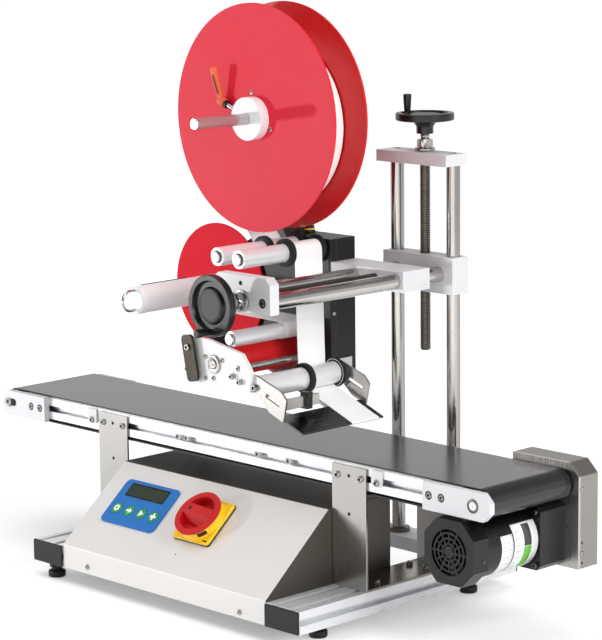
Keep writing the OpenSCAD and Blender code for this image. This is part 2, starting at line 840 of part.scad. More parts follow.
module keypad_key(i) {
  color([0.2, 0.75, 0.55]) placed() on_slope()
    along_z(key_x(i), panel_v - key_drop, key_lift, key_lift + key_t, key_d);
}
module key_1() { keypad_key(0); }
module key_2() { keypad_key(1); }
module key_3() { keypad_key(2); }
module key_4() { keypad_key(3); }

module switch_plate() {
  color([0.98, 0.82, 0.05]) placed() on_slope() translate([switch_x, panel_v, 0]) difference() {
    union() {
      linear_extrude(switch_t) rounded_square(switch_w, switch_w, switch_r);
      translate([0, 0, switch_t - 1]) cylinder(h = collar_up + 1, d1 = collar_foot_d, d2 = collar_top_d);
    }
    along_z(0, 0, -1, switch_t + 1, spindle_d + 2 * run);
    along_z(0, 0, switch_t, switch_t + collar_up + 1, bowl_d + 2 * clear);
  }
}

module switch_knob() {
  base = switch_t + end_gap;
  ring = switch_t + collar_up + end_gap;
  top = ring + knob_ring_t;
  inner_r = bowl_d / 2 - bowl_wall;
  near = knob_bar_off - knob_bar / 2;
  far = knob_bar_off + knob_bar / 2;
  color([0.85, 0.08, 0.1]) placed() on_slope() translate([switch_x, panel_v, 0]) {
    difference() {
      union() {
        along_z(0, 0, base, top, bowl_d);
        along_z(0, 0, ring, top, knob_d);
      }
      along_z(0, 0, base + bowl_wall, top + 1, 2 * inner_r);
    }
    rotate(knob_turn) intersection() {
      sideways(-inner_r - 1, 2 * inner_r + 2) polygon([[near - knob_bar_foot, base + 1], [far, base + 1],
        [far, top + knob_step], [near, top + knob_step]]);
      along_z(0, 0, base, top + knob_step + 1, 2 * inner_r + 1);
    }
    along_z(0, 0, end_gap, base + 1, spindle_d);
  }
}

module control_board() {
  x0 = console_x + (console_w - board_w) / 2;
  y0 = slope_y + board_gap;
  top = console_h - console_wall;
  inset = standoff_d;
  color([0.1, 0.4, 0.2]) placed() {
    translate([x0, y0, top - standoff_h - board_t]) cube([board_w, board_d, board_t]);
    for (x = [inset, board_w - inset], y = [inset, board_d - inset])
      along_z(x0 + x, y0 + y, top - standoff_h - board_t / 2, top, standoff_d);
  }
}

// Conveyor
module side_rails() {
  color(c_alu) placed() for (y = [conveyor_y, conveyor_back - rail_s])
    sideways(rail_x, rail_l) translate([y, rail_top - rail_s]) slotted_section(rail_s, rail_s, 1);
}

module slider_bed() {
  color(c_steel) placed() translate([rail_x, belt_y, rail_top]) cube([rail_l, belt_w, bed_t]);
}

module conveyor_belt() {
  color(c_belt) placed() translate([tail_x, 0, axis_z]) upright(belt_y, belt_w) difference() {
    loop_section(drive_x - tail_x, belt_r);
    loop_section(drive_x - tail_x, belt_r - belt_t);
  }
}

module left_plate_outline() {
  circle(d = end_plate_h);
  translate([0, -end_plate_h / 2]) square([left_plate_l, end_plate_h]);
}

module right_plate_outline() {
  h = end_plate_h / 2;
  r = right_plate_over;
  c = right_plate_c;
  polygon([[r - right_plate_l, -h], [r - c, -h], [r, c - h], [r, h - c], [r - c, h], [r - right_plate_l, h]]);
}

module shaft_hole() { circle(d = roller_shaft_d + 2 * run); }

module end_plates() {
  color(c_alu) placed() {
    for (y = [conveyor_y - end_plate_t, conveyor_back])
      translate([tail_x, 0, axis_z]) upright(y, end_plate_t) difference() {
        left_plate_outline();
        shaft_hole();
      }
    translate([drive_x, 0, axis_z]) upright(conveyor_y - end_plate_t, end_plate_t) difference() {
      right_plate_outline();
      shaft_hole();
    }
  }
}

module belt_roller(x, y1) {
  along_y(x, axis_z, roller_y, roller_y + roller_l, roller_d);
  along_y(x, axis_z, conveyor_y - end_plate_t + shaft_recess, y1, roller_shaft_d);
}

module tail_roller() {
  color(c_steel) placed() belt_roller(tail_x, conveyor_back + end_plate_t - shaft_recess);
}

module drive_roller() {
  color(c_steel) placed() {
    belt_roller(drive_x, pulley_y + pulley_w + pulley_over);
    tube_y(drive_x, axis_z, pulley_y, pulley_y + pulley_w, pulley_d, roller_shaft_d + 2 * fixed_fit);
  }
}

module support_brackets() {
  y0 = conveyor_y - bracket_t;
  y1 = conveyor_back + bracket_t;
  top = profile_h + bracket_h;
  floor_z = profile_h + bracket_t;
  color(c_sheet) placed() for (x = [0, -base_pitch]) sideways(x, profile_w)
    polygon([[y0, profile_h], [y1, profile_h], [y1, top], [conveyor_back, top], [conveyor_back, floor_z],
      [conveyor_y, floor_z], [conveyor_y, top], [y0, top]]);
}

// Drive
module gearmotor() {
  color(c_black) placed() translate([motor_x, 0, motor_z]) {
    difference() {
      union() {
        upright(gearhead_y, gearhead_l) chamfered_square(motor_s, gearhead_c);
        along_y(0, 0, motor_y, gearhead_y, motor_body_d);
      }
      along_y(0, 0, conveyor_back - output_l - end_gap, conveyor_back + 1, roller_shaft_d + 2 * run);
    }
    difference() {
      upright(motor_y - fan_l, fan_l) chamfered_square(motor_s, fan_c);
      along_y(0, 0, motor_y - fan_l - lap, motor_y - fan_l + fan_in, motor_s - 2 * fan_rim);
    }
  }
}

module cover_outline(m) {
  left = motor_x - cover_left + m;
  right = drive_x + cover_over - m;
  low = motor_z - cover_down + m;
  high = axis_z + cover_up - m;
  polygon([[left, low], [right, low], [right, high - cover_c], [right - cover_c, high], [left, high]]);
}

module drive_plate() {
  color(c_sheet) placed() upright(conveyor_back, drive_plate_t) difference() {
    cover_outline(0);
    translate([drive_x, axis_z]) shaft_hole();
    translate([motor_x, motor_z]) shaft_hole();
  }
}

module drive_cover() {
  color(c_sheet) placed() difference() {
    upright(drive_back, cover_d) cover_outline(0);
    upright(drive_back - 1, cover_d - cover_wall + 1) cover_outline(cover_wall);
  }
}

module motor_pulley() {
  color(c_steel) placed() {
    along_y(motor_x, motor_z, conveyor_back - output_l, pulley_y + pulley_w + pulley_over, roller_shaft_d);
    along_y(motor_x, motor_z, pulley_y, pulley_y + pulley_w, pulley_d);
  }
}

module timing_belt() {
  inner = pulley_d / 2 + clear;
  color(c_black) placed() translate([motor_x, 0, motor_z]) rotate([0, -atan2(motor_dz, motor_dx), 0])
    upright(pulley_y + tooth_belt_inset, pulley_w - 2 * tooth_belt_inset) difference() {
      loop_section(belt_span, inner + tooth_belt_t);
      loop_section(belt_span, inner);
    }
}

// Column
module cross_plate() {
  color(c_alu) placed() difference() {
    translate([-base_pitch, post_y - cross_plate_d / 2, profile_h])
      cube([base_pitch + profile_w, cross_plate_d, cross_plate_t]);
    for (x = post_xs) along_z(x, post_y, plate_top - socket_depth, plate_top + 1, post_d + 2 * fixed_fit);
  }
}

module posts() {
  color(c_steel) placed() for (x = post_xs) along_z(x, post_y, plate_top - socket_depth, top_under, post_d);
}

module top_plate() {
  color(c_alu) placed() difference() {
    translate([block_x, post_y - top_plate_front, top_under])
      cube([block_w, top_plate_front + top_plate_back, top_plate_t]);
    along_z(column_x, post_y, top_under - 1, column_h + 1, journal_d + 2 * run);
  }
}

module lift_screw() {
  washer_z = column_h + end_gap;
  color(c_steel) placed() {
    along_z(column_x, post_y, lift_screw_foot, top_under - end_gap, screw_d);
    along_z(column_x, post_y, top_under - end_gap - 1, lift_hub_z + boss_end, journal_d);
    along_z(column_x, post_y, washer_z, washer_z + washer_t, washer_d);
    translate([column_x, post_y, washer_z]) cylinder(d = hex_d, h = washer_t + hex_h, $fn = 6);
  }
}

// A handwheel on its axis, hub towards -Z, with the pin of its grip at the given angle
module handwheel(angle) {
  top = wheel_hub_l + rim_l;
  rim_r = wheel_d / 2;
  dish_r = rim_r - rim_w;
  hub_r = wheel_hub_d / 2;
  boss_r = wheel_boss_d / 2;
  bore_r = journal_d / 2 + fixed_fit;
  dish_z = wheel_hub_l + wheel_web_step + wheel_web_t;
  rotate_extrude() polygon([[bore_r, 0], [hub_r, 0], [hub_r, wheel_hub_l / 2],
    [hub_r + hub_flare, wheel_hub_l - 2 * rim_c], [rim_r - 2 * rim_c, wheel_hub_l],
    [rim_r, wheel_hub_l + rim_c], [rim_r, top - rim_c], [rim_r - rim_c, top], [dish_r, top],
    [dish_r - dish_draft, dish_z],
    [boss_r + dish_draft, dish_z], [boss_r, boss_end], [bore_r, boss_end]]);
  rotate(angle) along_z(grip_r, 0, top - rim_l / 2, top + grip_l - grip_end_t - end_gap, grip_pin_d);
}

module revolving_grip(angle) {
  foot = wheel_hub_l + rim_l + clear;
  pin_r = grip_pin_d / 2 + run;
  r = grip_d / 2;
  hollow = grip_l - grip_end_t;
  rotate(angle) translate([grip_r, 0, foot]) rotate_extrude()
    polygon([[pin_r, 0], [r - grip_taper, 0], [r, grip_l - 2 * grip_taper], [r, grip_l - grip_taper],
      [r - grip_taper, grip_l], [0, grip_l], [0, hollow], [pin_r, hollow]]);
}

module at_lift_wheel() { translate([column_x, post_y, lift_hub_z]) children(); }
module at_cross_wheel() { translate([column_x, cross_hub_y, arm_z]) rotate([90, 0, 0]) children(); }

module lift_handwheel() { color(c_black) placed() at_lift_wheel() handwheel(lift_grip_angle); }
module lift_grip() { color(c_black) placed() at_lift_wheel() revolving_grip(lift_grip_angle); }
module cross_handwheel() { color(c_black) placed() at_cross_wheel() handwheel(cross_grip_angle); }
module cross_grip() { color(c_black) placed() at_cross_wheel() revolving_grip(cross_grip_angle); }

// Arm
module lift_block() {
  z0 = arm_z - lift_block_down;
  z1 = arm_z + lift_block_up;
  color(c_alu) placed() difference() {
    translate([block_x, lift_front, z0]) cube([block_w, lift_block_d, z1 - z0]);
    for (x = post_xs) along_z(x, post_y, z0 - 1, z1 + 1, post_d + 2 * run);
    along_z(column_x, post_y, z0 - 1, z1 + 1, screw_d + 2 * thread_run);
    for (x = shaft_xs) along_y(x, arm_z, lift_front - 1, lift_front + shaft_socket, shaft_d + 2 * fixed_fit);
    along_y(column_x, arm_z, lift_front - 1, lift_front + shaft_socket + end_gap, journal_d + 2 * run);
  }
}

module guide_shafts() {
  color(c_steel) placed() for (x = shaft_xs)
    along_y(x, arm_z, front_back - front_socket, lift_front + shaft_socket, shaft_d);
}

module front_block() {
  half = shaft_pitch / 2 + front_block_margin;
  c = front_block_c;
  up = front_block_up;
  color(c_alu) placed() difference() {
    translate([column_x, 0, arm_z]) upright(front_y, front_block_t)
      polygon([[-half, -front_block_down], [half, -front_block_down], [half, up - c], [half - c, up],
        [c - half, up], [-half, up - c]]);
    for (x = shaft_xs) along_y(x, arm_z, front_back - front_socket, front_back + 1, shaft_d + 2 * fixed_fit);
    along_y(column_x, arm_z, front_y - 1, front_back + 1, journal_d + 2 * run);
  }
}

module cross_screw() {
  nut_front = front_y - end_gap - cross_nut_l;
  color(c_steel) placed() {
    along_y(column_x, arm_z, front_back + end_gap, lift_front - end_gap, screw_d);
    along_y(column_x, arm_z, cross_hub_y - boss_end, lift_front + shaft_socket, journal_d);
    along_y(column_x, arm_z, nut_front, front_y - end_gap, washer_d);
  }
}

module carriage() {
  color(c_alu) placed() difference() {
    translate([carriage_x, carriage_y, arm_z - carriage_half])
      cube([carriage_w, carriage_d, 2 * carriage_half]);
    for (x = shaft_xs) along_y(x, arm_z, carriage_y - 1, carriage_y + carriage_d + 1, shaft_d + 2 * run);
    along_y(column_x, arm_z, carriage_y - 1, carriage_y + carriage_d + 1, screw_d + 2 * thread_run);
  }
}

// Head
module head_outline(m) {
  right = -head_reach - m;
  polygon([[right, head_bottom + m], [right, head_top - m], [head_left + m, head_top - m],
    [rewind_x, rewind_z + rewind_lobe_r - m], [rewind_x, rewind_z - rewind_lobe_r + m],
    [head_left + m, head_bottom + m]]);
  translate([rewind_x, rewind_z]) circle(rewind_lobe_r - m);
}

module bearing_hole(x, z, d) { translate([x, z]) circle(d = d + 2 * run); }
module rod_hole(x, z) { translate([x, z]) circle(d = axle_d + 2 * fixed_fit); }

module main_plate() {
  color(c_black) placed() upright(plate_y, main_plate_t) difference() {
    union() {
      head_outline(0);
      translate([reel_x, reel_z]) circle(d = reel_arm_w);
      translate([reel_x - reel_arm_w / 2, head_top - lap]) square([reel_arm_w, reel_z - head_top + lap]);
    }
    bearing_hole(reel_x, reel_z, reel_shaft_d);
    bearing_hole(rewind_x, rewind_z, reel_shaft_d);
    bearing_hole(feed_x, feed_z, feed_shaft_d);
    bearing_hole(pivot_x, pivot_z, axle_d);
    for (x = guide_xs) rod_hole(x, guide_z);
    rod_hole(idler_x, idler_z);
    for (p = tie_rods) rod_hole(p[0], p[1]);
  }
}

module head_housing() {
  color(c_black) placed() difference() {
    upright(plate_back, housing_d) head_outline(0);
    upright(plate_back - 1, housing_d - housing_wall + 1) head_outline(housing_wall);
  }
}

module free_axle(x, z) {
  along_y(x, z, rod_front - axle_head_t, plate_back, axle_d);
  along_y(x, z, rod_front - axle_head_t - 1, rod_front - end_gap, axle_head_d);
}

module head_rods() {
  color(c_steel) placed() {
    for (x = guide_xs) free_axle(x, guide_z);
    free_axle(idler_x, idler_z);
    for (p = tie_rods) along_y(p[0], p[1], side_plate_y, plate_back, axle_d);
  }
}

module side_plate() {
  left = pivot_x - side_left;
  right = lower_x - side_right_gap;
  top = pivot_z + side_top_up;
  color(c_alu) placed() upright(side_plate_y, side_plate_t) difference() {
    polygon([[left, head_bottom], [right, head_bottom], [right, feed_z],
      [feed_x + shoulder_l, feed_z + shoulder_up], [pivot_x + side_top_l, top], [left, top]]);
    bearing_hole(feed_x, feed_z, feed_shaft_d);
    bearing_hole(pivot_x, pivot_z, axle_d);
    for (p = tie_rods) rod_hole(p[0], p[1]);
  }
}

// A point on the peel plate's underside, at distance d from the peel edge
function under_peel(d) = [tip_x - d * cos(peel_angle) + peel_t / 2 * sin(peel_angle),
  tip_z - d * sin(peel_angle) - peel_t / 2 * cos(peel_angle)];

// A peel bracket, from the lower roller down to the peel plate
module peel_bracket_outline(left) {
  z = lower_z;
  right = lower_x + wing_l;
  low = z - wing_drop;
  difference() {
    polygon([[left, z + bracket_up], [lower_x, z + bracket_up], [right - wing_c, low + wing_c], [right, low],
      under_peel(bracket_foot), under_peel(bracket_foot + bracket_foot_l), [lower_x, z - bracket_down],
      [left, z - bracket_down]]);
    translate([lower_x, z]) circle(d = axle_d + 2 * run);
    translate([lower_x + adjust_dx, z - adjust_drop]) rotate(peel_angle)
      translate([-adjust_l / 2, -adjust_w / 2]) square([adjust_l, adjust_w]);
  }
}

module peel_frame() {
  bar_y = near_y + peel_bracket_t;
  color(c_alu) placed() {
    upright(near_y, peel_bracket_t) peel_bracket_outline(lower_x - near_bracket_l);
    upright(far_y, peel_bracket_t) peel_bracket_outline(-head_reach);
    translate([-head_reach, far_y + peel_bracket_t - 1, head_bottom + tab_up])
      cube([peel_bracket_t, tab_l, tab_h]);
    translate([lower_x + peel_bar_dx, bar_y - 1, lower_z - peel_bar_drop])
      cube([peel_bar_t, peel_bar_l + 1, peel_bar_h]);
  }
}

module peel_plate() {
  y0 = near_y + peel_bracket_t;
  color([0.25, 0.25, 0.26]) placed() translate([tip_x, 0, tip_z]) rotate([0, -peel_angle, 0])
    upright(y0, far_y - y0) {
      circle(d = peel_t);
      translate([-peel_l, -peel_t / 2]) square([peel_l, peel_t]);
    }
}

module label_web() {
  color(c_paper) placed() upright(web_y, web_w)
    polygon(concat(web_edge(-web_t / 2), reversed(web_edge(web_t / 2))));
}

module feed_motor() {
  color(c_black) placed() translate([feed_x, 0, feed_z]) difference() {
    upright(plate_back, feed_motor_l) chamfered_square(feed_motor_s, feed_motor_c);
    along_y(0, 0, plate_back - 1, plate_back + feed_shaft_in + end_gap, feed_shaft_d + 2 * run);
  }
}

// Label reel
module reel_shaft() {
  color(c_steel) placed() {
    along_y(reel_x, reel_z, collar_y - reel_shaft_free, plate_back + shaft_over, reel_shaft_d);
    along_y(reel_x, reel_z, plate_back + end_gap, plate_back + end_gap + stop_ring_l, stop_ring_d);
  }
}

module back_flange() {
  color(c_red) placed() difference() {
    union() {
      along_y(reel_x, reel_z, back_flange_y, back_flange_y + flange_t, flange_d);
      along_y(reel_x, reel_z, hub_front, back_flange_y + lap, hub_d);
    }
    along_y(reel_x, reel_z, hub_front - lap, back_flange_y + flange_t + lap, reel_shaft_d + 2 * fixed_fit);
  }
}

module label_roll() { color(c_paper) placed() tube_y(reel_x, roll_z, web_y, web_back, roll_d, core_d); }

module front_flange() {
  color(c_red) placed()
    tube_y(reel_x, reel_z, front_flange_y, front_flange_y + flange_t, flange_d, reel_shaft_d + 2 * run);
}

module at_stud() {
  translate([reel_x, collar_y + collar_l / 2, reel_z]) rotate([0, -lever_angle, 0]) children();
}
module along_x(x0, x1, d) { translate([x0, 0, 0]) rotate([0, 90, 0]) cylinder(d = d, h = x1 - x0); }

module reel_collar() {
  color(c_paper) placed() difference() {
    tube_y(reel_x, reel_z, collar_y, front_flange_y, collar_d, reel_shaft_d + 2 * run);
    at_stud() along_x(collar_d / 2 - stud_in - end_gap, collar_d / 2 + 1, stud_d + 2 * run);
  }
}

module clamp_lever() {
  r0 = collar_d / 2;
  hub_x = r0 + stud_free;
  color([0.95, 0.35, 0.15]) placed() at_stud() {
    along_x(r0 - stud_in, hub_x + 1, stud_d);
    along_x(hub_x, hub_x + lever_hub_l, lever_hub_d);
    translate([hub_x + lever_arm_x, 0, 0]) rotate([-lever_turn, 0, 0])
      upright(-lever_w / 2, lever_w) rotate(-90 + lever_lean) {
        translate([0, -lever_w / 2]) square([lever_l, lever_w]);
        translate([lever_l, 0]) circle(d = lever_w);
      }
  }
}

// Rollers of the web path
module guide_roller(x) {
  tube_y(x, guide_z, rod_front, roller_back, guide_d, axle_d + 2 * run);
  for (y = [web_y - clear - web_collar_w, web_back + clear])
    tube_y(x, guide_z, y, y + web_collar_w, web_collar_d, guide_d + 2 * fixed_fit);
}
module guide_roller_1() { color(c_alu) placed() guide_roller(guide_xs[0]); }
module guide_roller_2() { color(c_alu) placed() guide_roller(guide_xs[1]); }

module idler_roller() {
  color(c_alu) placed() tube_y(idler_x, idler_z, rod_front, roller_back, idler_d, axle_d + 2 * run);
}

module lower_roller() {
  near_end = near_y + peel_bracket_t;
  color(c_alu) placed() {
    along_y(lower_x, lower_z, near_end + end_gap, roller_back, lower_d);
    along_y(lower_x, lower_z, near_y, far_y + peel_bracket_t, axle_d);
    for (y = [web_y - clear - web_collar_w, web_back + clear])
      tube_y(lower_x, lower_z, y, y + web_collar_w, lower_d + 2 * lower_collar_h, lower_d + 2 * fixed_fit);
  }
}

module feed_roller() {
  color(c_red) placed() {
    along_y(feed_x, feed_z, side_back + roller_gap, plate_y - flange_gap, feed_d);
    along_y(feed_x, feed_z, side_plate_y - feed_shaft_over, plate_back + feed_shaft_in, feed_shaft_d);
  }
}

module pinch_roller() {
  arm_y = side_back + roller_gap;
  color(c_black) placed() {
    along_y(pinch_x, pinch_z, arm_y + pinch_arm_t + end_gap, pinch_back - clear, pinch_d);
    along_y(pinch_x, pinch_z, arm_y, pinch_back + pinch_arm_t, pinch_shaft_d);
  }
}

module pinch_arm(y) {
  span = norm([pinch_x - pivot_x, pinch_z - pivot_z]);
  turn = atan2(pinch_z - pivot_z, pinch_x - pivot_x);
  translate([pivot_x, 0, pivot_z]) rotate([0, -turn, 0]) upright(y, pinch_arm_t) difference() {
    loop_section(span, pinch_shaft_d / 2 + pinch_arm_m);
    translate([span, 0]) circle(d = pinch_shaft_d + 2 * run);
  }
}

module pressure_lever() {
  lever_y = side_plate_y - press_lever_gap - press_lever_t;
  color([0.3, 0.3, 0.3]) placed() {
    along_y(pivot_x, pivot_z, lever_y + lap, plate_back, axle_d);
    pinch_arm(side_back + roller_gap);
    pinch_arm(pinch_back);
    translate([pivot_x, 0, pivot_z]) rotate([0, press_lever_angle, 0]) upright(lever_y, press_lever_t)
      translate([(press_lever_l - press_lever_up) / 2, 0])
        rounded_square(press_lever_up + press_lever_l, press_lever_w, press_lever_r);
  }
}

module rewind_flange() {
  y = rewind_flange_y;
  bore = reel_shaft_d + 2 * fixed_fit;
  color(c_red) placed() tube_y(rewind_x, rewind_z, y, y + flange_t, rewind_flange_d, bore);
}

module rewind_mandrel() {
  color(c_alu) placed() difference() {
    union() {
      along_y(rewind_x, rewind_z, mandrel_y, rewind_flange_y, mandrel_d);
      along_y(rewind_x, rewind_z, rewind_flange_y - 1, plate_back + shaft_over, reel_shaft_d);
      along_y(rewind_x, rewind_z, plate_back + end_gap, plate_back + end_gap + stop_ring_l, stop_ring_d);
    }
    for (z = [-1, 1]) along_y(rewind_x, rewind_z + z * clip_pitch / 2, mandrel_y - 1,
      mandrel_y + clip_depth + 1, clip_d + 2 * run);
  }
}

module rewind_clip() {
  r = clip_pitch / 2;
  bend_y = mandrel_y - clip_free + r;
  color(c_steel) placed() translate([rewind_x, 0, rewind_z]) {
    for (z = [-1, 1]) along_y(0, z * r, bend_y, mandrel_y + clip_depth, clip_d);
    translate([0, bend_y, 0]) rotate([0, 90, 0]) rotate([0, 0, 180]) rotate_extrude(angle = 180)
      translate([r, 0]) circle(d = clip_d);
  }
}

base_profiles();
feet();
console();
keypad();
switch_plate();
control_board();
side_rails();
slider_bed();
conveyor_belt();
end_plates();
support_brackets();
gearmotor();
drive_plate();
drive_cover();
timing_belt();
cross_plate();
posts();
top_plate();
drive_roller();
tail_roller();
motor_pulley();
switch_knob();
key_1();
key_2();
key_3();
key_4();
lift_screw();
lift_handwheel();
lift_grip();
lift_block();
guide_shafts();
front_block();
cross_screw();
cross_handwheel();
cross_grip();
carriage();
main_plate();
head_housing();
head_rods();
side_plate();
peel_frame();
peel_plate();
label_web();
feed_motor();
reel_shaft();
back_flange();
label_roll();
front_flange();
reel_collar();
clamp_lever();
guide_roller_1();
guide_roller_2();
idler_roller();
lower_roller();
feed_roller();
pinch_roller();
pressure_lever();
rewind_flange();
rewind_mandrel();
rewind_clip();
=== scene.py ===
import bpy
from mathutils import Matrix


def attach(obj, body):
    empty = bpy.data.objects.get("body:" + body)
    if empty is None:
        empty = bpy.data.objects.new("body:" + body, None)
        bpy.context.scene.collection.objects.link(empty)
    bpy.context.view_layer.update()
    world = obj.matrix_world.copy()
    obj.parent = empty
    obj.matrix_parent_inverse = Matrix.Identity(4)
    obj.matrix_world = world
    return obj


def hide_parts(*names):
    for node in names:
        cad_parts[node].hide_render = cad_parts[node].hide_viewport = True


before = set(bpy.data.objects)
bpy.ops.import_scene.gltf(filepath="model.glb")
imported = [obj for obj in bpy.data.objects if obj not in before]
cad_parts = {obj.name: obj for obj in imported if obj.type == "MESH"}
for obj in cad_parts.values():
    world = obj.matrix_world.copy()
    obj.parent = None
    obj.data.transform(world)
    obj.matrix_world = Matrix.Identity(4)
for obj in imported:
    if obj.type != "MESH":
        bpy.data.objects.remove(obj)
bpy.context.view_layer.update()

import math
import bmesh
import bpy
from mathutils import Matrix, Vector

# Places are given in millimetres from the part's datum, the front lower left corner of the right base profile
X_MID, Y_MID, FOOT_H = -197.15, 159.1, 20.0
SLOPE = math.atan2(96, 111)
LIP = 32.0
PROFILE_W, PROFILE_H, PROFILE_LEN, BASE_PITCH = 60, 30, 400, 456
FOOT_INSET, FOOT_INSET_LEFT = 61, 13
DISPLAY_X, DISPLAY_V = -309.8, 104.8
KEYS_X, KEYS_V, KEY_PITCH = -308.6, 73, 24.4
SWITCH_X, SWITCH_V = -180.6, 85
RAIL_Z, BRACKET_FRONT, BRACKET_BACK = 175, 117, 275
END_FRONT, END_BACK, TAIL_X = 111, 281, -650
DRIVE_X, DRIVE_Z = 243, 173.7
COVER_RIGHT, COVER_Y = 272, 279.1
MOTOR_X, MOTOR_Z, MOTOR_R = 210, 112, 39.0
FAN_Y, FAN_IN, FAN_R = 105, 7.0, 31.0
COLUMN_X, POST_Y, ARM_Z = -28.5, 320, 405
SIDE_Y, AXLE_Y, HOUSING_BACK = 74, 83, 270
FEED_X, FEED_Z = -169, 297
LOWER_X, LOWER_Z = -98, 275
GUIDE_LEFT_X, GUIDE_RIGHT_X, GUIDE_Z = -170, -130, 435
IDLER_X, IDLER_Z = -146, 331
REEL_X, REEL_Z, FLANGE_Y = -185, 605, 165
STUD_ANGLE, LEVER_LEAN, LEVER_TURN = math.radians(160), math.radians(23), math.radians(17)
REWIND_X, REWIND_Z, WIRE_R, WIRE_ANGLE = -317, 364, 18.6, math.radians(104)


def row(p):
    return Vector(((p[0] - X_MID) / 1000, (p[1] - Y_MID) / 1000, (p[2] + FOOT_H) / 1000))


def on_slope(x, v, h):
    return (x, v * math.cos(SLOPE) - h * math.sin(SLOPE), LIP + v * math.sin(SLOPE) + h * math.cos(SLOPE))


def lin(r, g, b):
    """A linear colour from one in sRGB bytes."""
    shares = [c / 255 for c in (r, g, b)]
    return tuple(s / 12.92 if s <= 0.04 else ((s + 0.055) / 1.055) ** 2.4 for s in shares) + (1.0,)


# Materials
def new_node(nt, kind, **inputs):
    n = nt.nodes.new(kind)
    for k, v in inputs.items():
        n.inputs[k.replace("_", " ")].default_value = v
    return n


def object_noise(nt, scale, stretch=(1, 1, 1), detail=3.0):
    place = nt.nodes.new("ShaderNodeTexCoord")
    turn = new_node(nt, "ShaderNodeMapping", Scale=stretch)
    n = new_node(nt, "ShaderNodeTexNoise", Scale=scale, Detail=detail)
    nt.links.new(place.outputs["Object"], turn.inputs["Vector"])
    nt.links.new(turn.outputs["Vector"], n.inputs["Vector"])
    return n.outputs["Fac"]


def feed(nt, socket, value):
    """Links a socket to another one, or sets it to a plain value."""
    if isinstance(value, bpy.types.NodeSocket):
        nt.links.new(value, socket)
    else:
        socket.default_value = value


def combined(nt, operation, *values, kind="ShaderNodeMath", out="Value"):
    n = nt.nodes.new(kind)
    n.operation = operation
    for socket, value in zip(n.inputs, values):
        feed(nt, socket, value)
    return n.outputs[out]


def ranged(nt, value, **limits):
    n = new_node(nt, "ShaderNodeMapRange", **limits)
    nt.links.new(value, n.inputs["Value"])
    return n.outputs["Result"]


def spread(nt, fac, lo, hi):
    """Spreads the middle of a noise, where nearly all of it lies, over the range from lo to hi."""
    return ranged(nt, fac, From_Min=0.3, From_Max=0.7, To_Min=lo, To_Max=hi)


def two_tone(nt, fac, a, b):
    n = nt.nodes.new("ShaderNodeMix")
    n.data_type = "RGBA"
    feed(nt, n.inputs["A"], a)
    feed(nt, n.inputs["B"], b)
    nt.links.new(fac, n.inputs["Factor"])
    return n.outputs["Result"]


def front_share(nt):
    """How far a face looks to the front or back, from 0 to 1."""
    place = nt.nodes.new("ShaderNodeTexCoord")
    part = nt.nodes.new("ShaderNodeSeparateXYZ")
    nt.links.new(place.outputs["Normal"], part.inputs["Vector"])
    return ranged(nt, combined(nt, "ABSOLUTE", part.outputs["Y"]), From_Min=0.3, From_Max=0.6)


def edge_share(nt, radius=0.0009):
    """How near a point is to an edge, from 0 to 1."""
    soft = new_node(nt, "ShaderNodeBevel", Radius=radius)
    soft.samples = 4
    plain = nt.nodes.new("ShaderNodeNewGeometry")
    same = combined(nt, "DOT_PRODUCT", soft.outputs["Normal"], plain.outputs["Normal"],
                    kind="ShaderNodeVectorMath")
    return ranged(nt, same, From_Min=0.995, From_Max=0.86)


def finish_of(name, color, rough, metal=0.0, grain=900, stretch=(1, 1, 1), relief=0.06, cloud=14, tint=0.07,
              vary=0.07, ior=1.5, side=None, edge_wear_and_highlight=None):
    """A surface with a colour that drifts in soft clouds, and a gloss and relief that follow a grain.

    With side, faces that look sideways, up or down take that darker colour and turn fully metallic: painted
    shade standing in for the dark surroundings those faces mirror.
    Edges lighten in patches to the colour of the last argument: partly rubbed coating, partly a painted
    highlight where edges catch the light.
    """
    m = bpy.data.materials.new(name)
    m.use_nodes = True
    nt = m.node_tree
    b = nt.nodes["Principled BSDF"]
    b.inputs["Metallic"].default_value = metal
    b.inputs["IOR"].default_value = ior
    fine = object_noise(nt, grain, stretch)
    soft = object_noise(nt, cloud, detail=4.0)
    dark = tuple(c * (1 - tint) for c in color[:3]) + (1,)
    light = tuple(min(1, c * (1 + tint)) for c in color[:3]) + (1,)
    tone = two_tone(nt, spread(nt, soft, 0, 1), dark, light)
    # Painted shade: faces that do not look to the front or back take the darker side colour and full metal.
    if side:
        front = front_share(nt)
        tone = two_tone(nt, front, side, tone)
        nt.links.new(ranged(nt, front, To_Min=1.0, To_Max=metal), b.inputs["Metallic"])
    # Lighter edges in patches: partly rubbed coating, partly painted highlight.
    if edge_wear_and_highlight:
        patches = spread(nt, object_noise(nt, 160, detail=5.0), 0.1, 0.9)
        tone = two_tone(nt, combined(nt, "MULTIPLY", edge_share(nt), patches), tone, edge_wear_and_highlight)
    nt.links.new(tone, b.inputs["Base Color"])
    gloss = combined(nt, "ADD", spread(nt, fine, rough - vary, rough + vary),
                     spread(nt, soft, -vary / 2, vary / 2))
    nt.links.new(gloss, b.inputs["Roughness"])
    relief_node = new_node(nt, "ShaderNodeBump", Strength=relief, Distance=0.0003)
    nt.links.new(fine, relief_node.inputs["Height"])
    nt.links.new(relief_node.outputs["Normal"], b.inputs["Normal"])
    return m


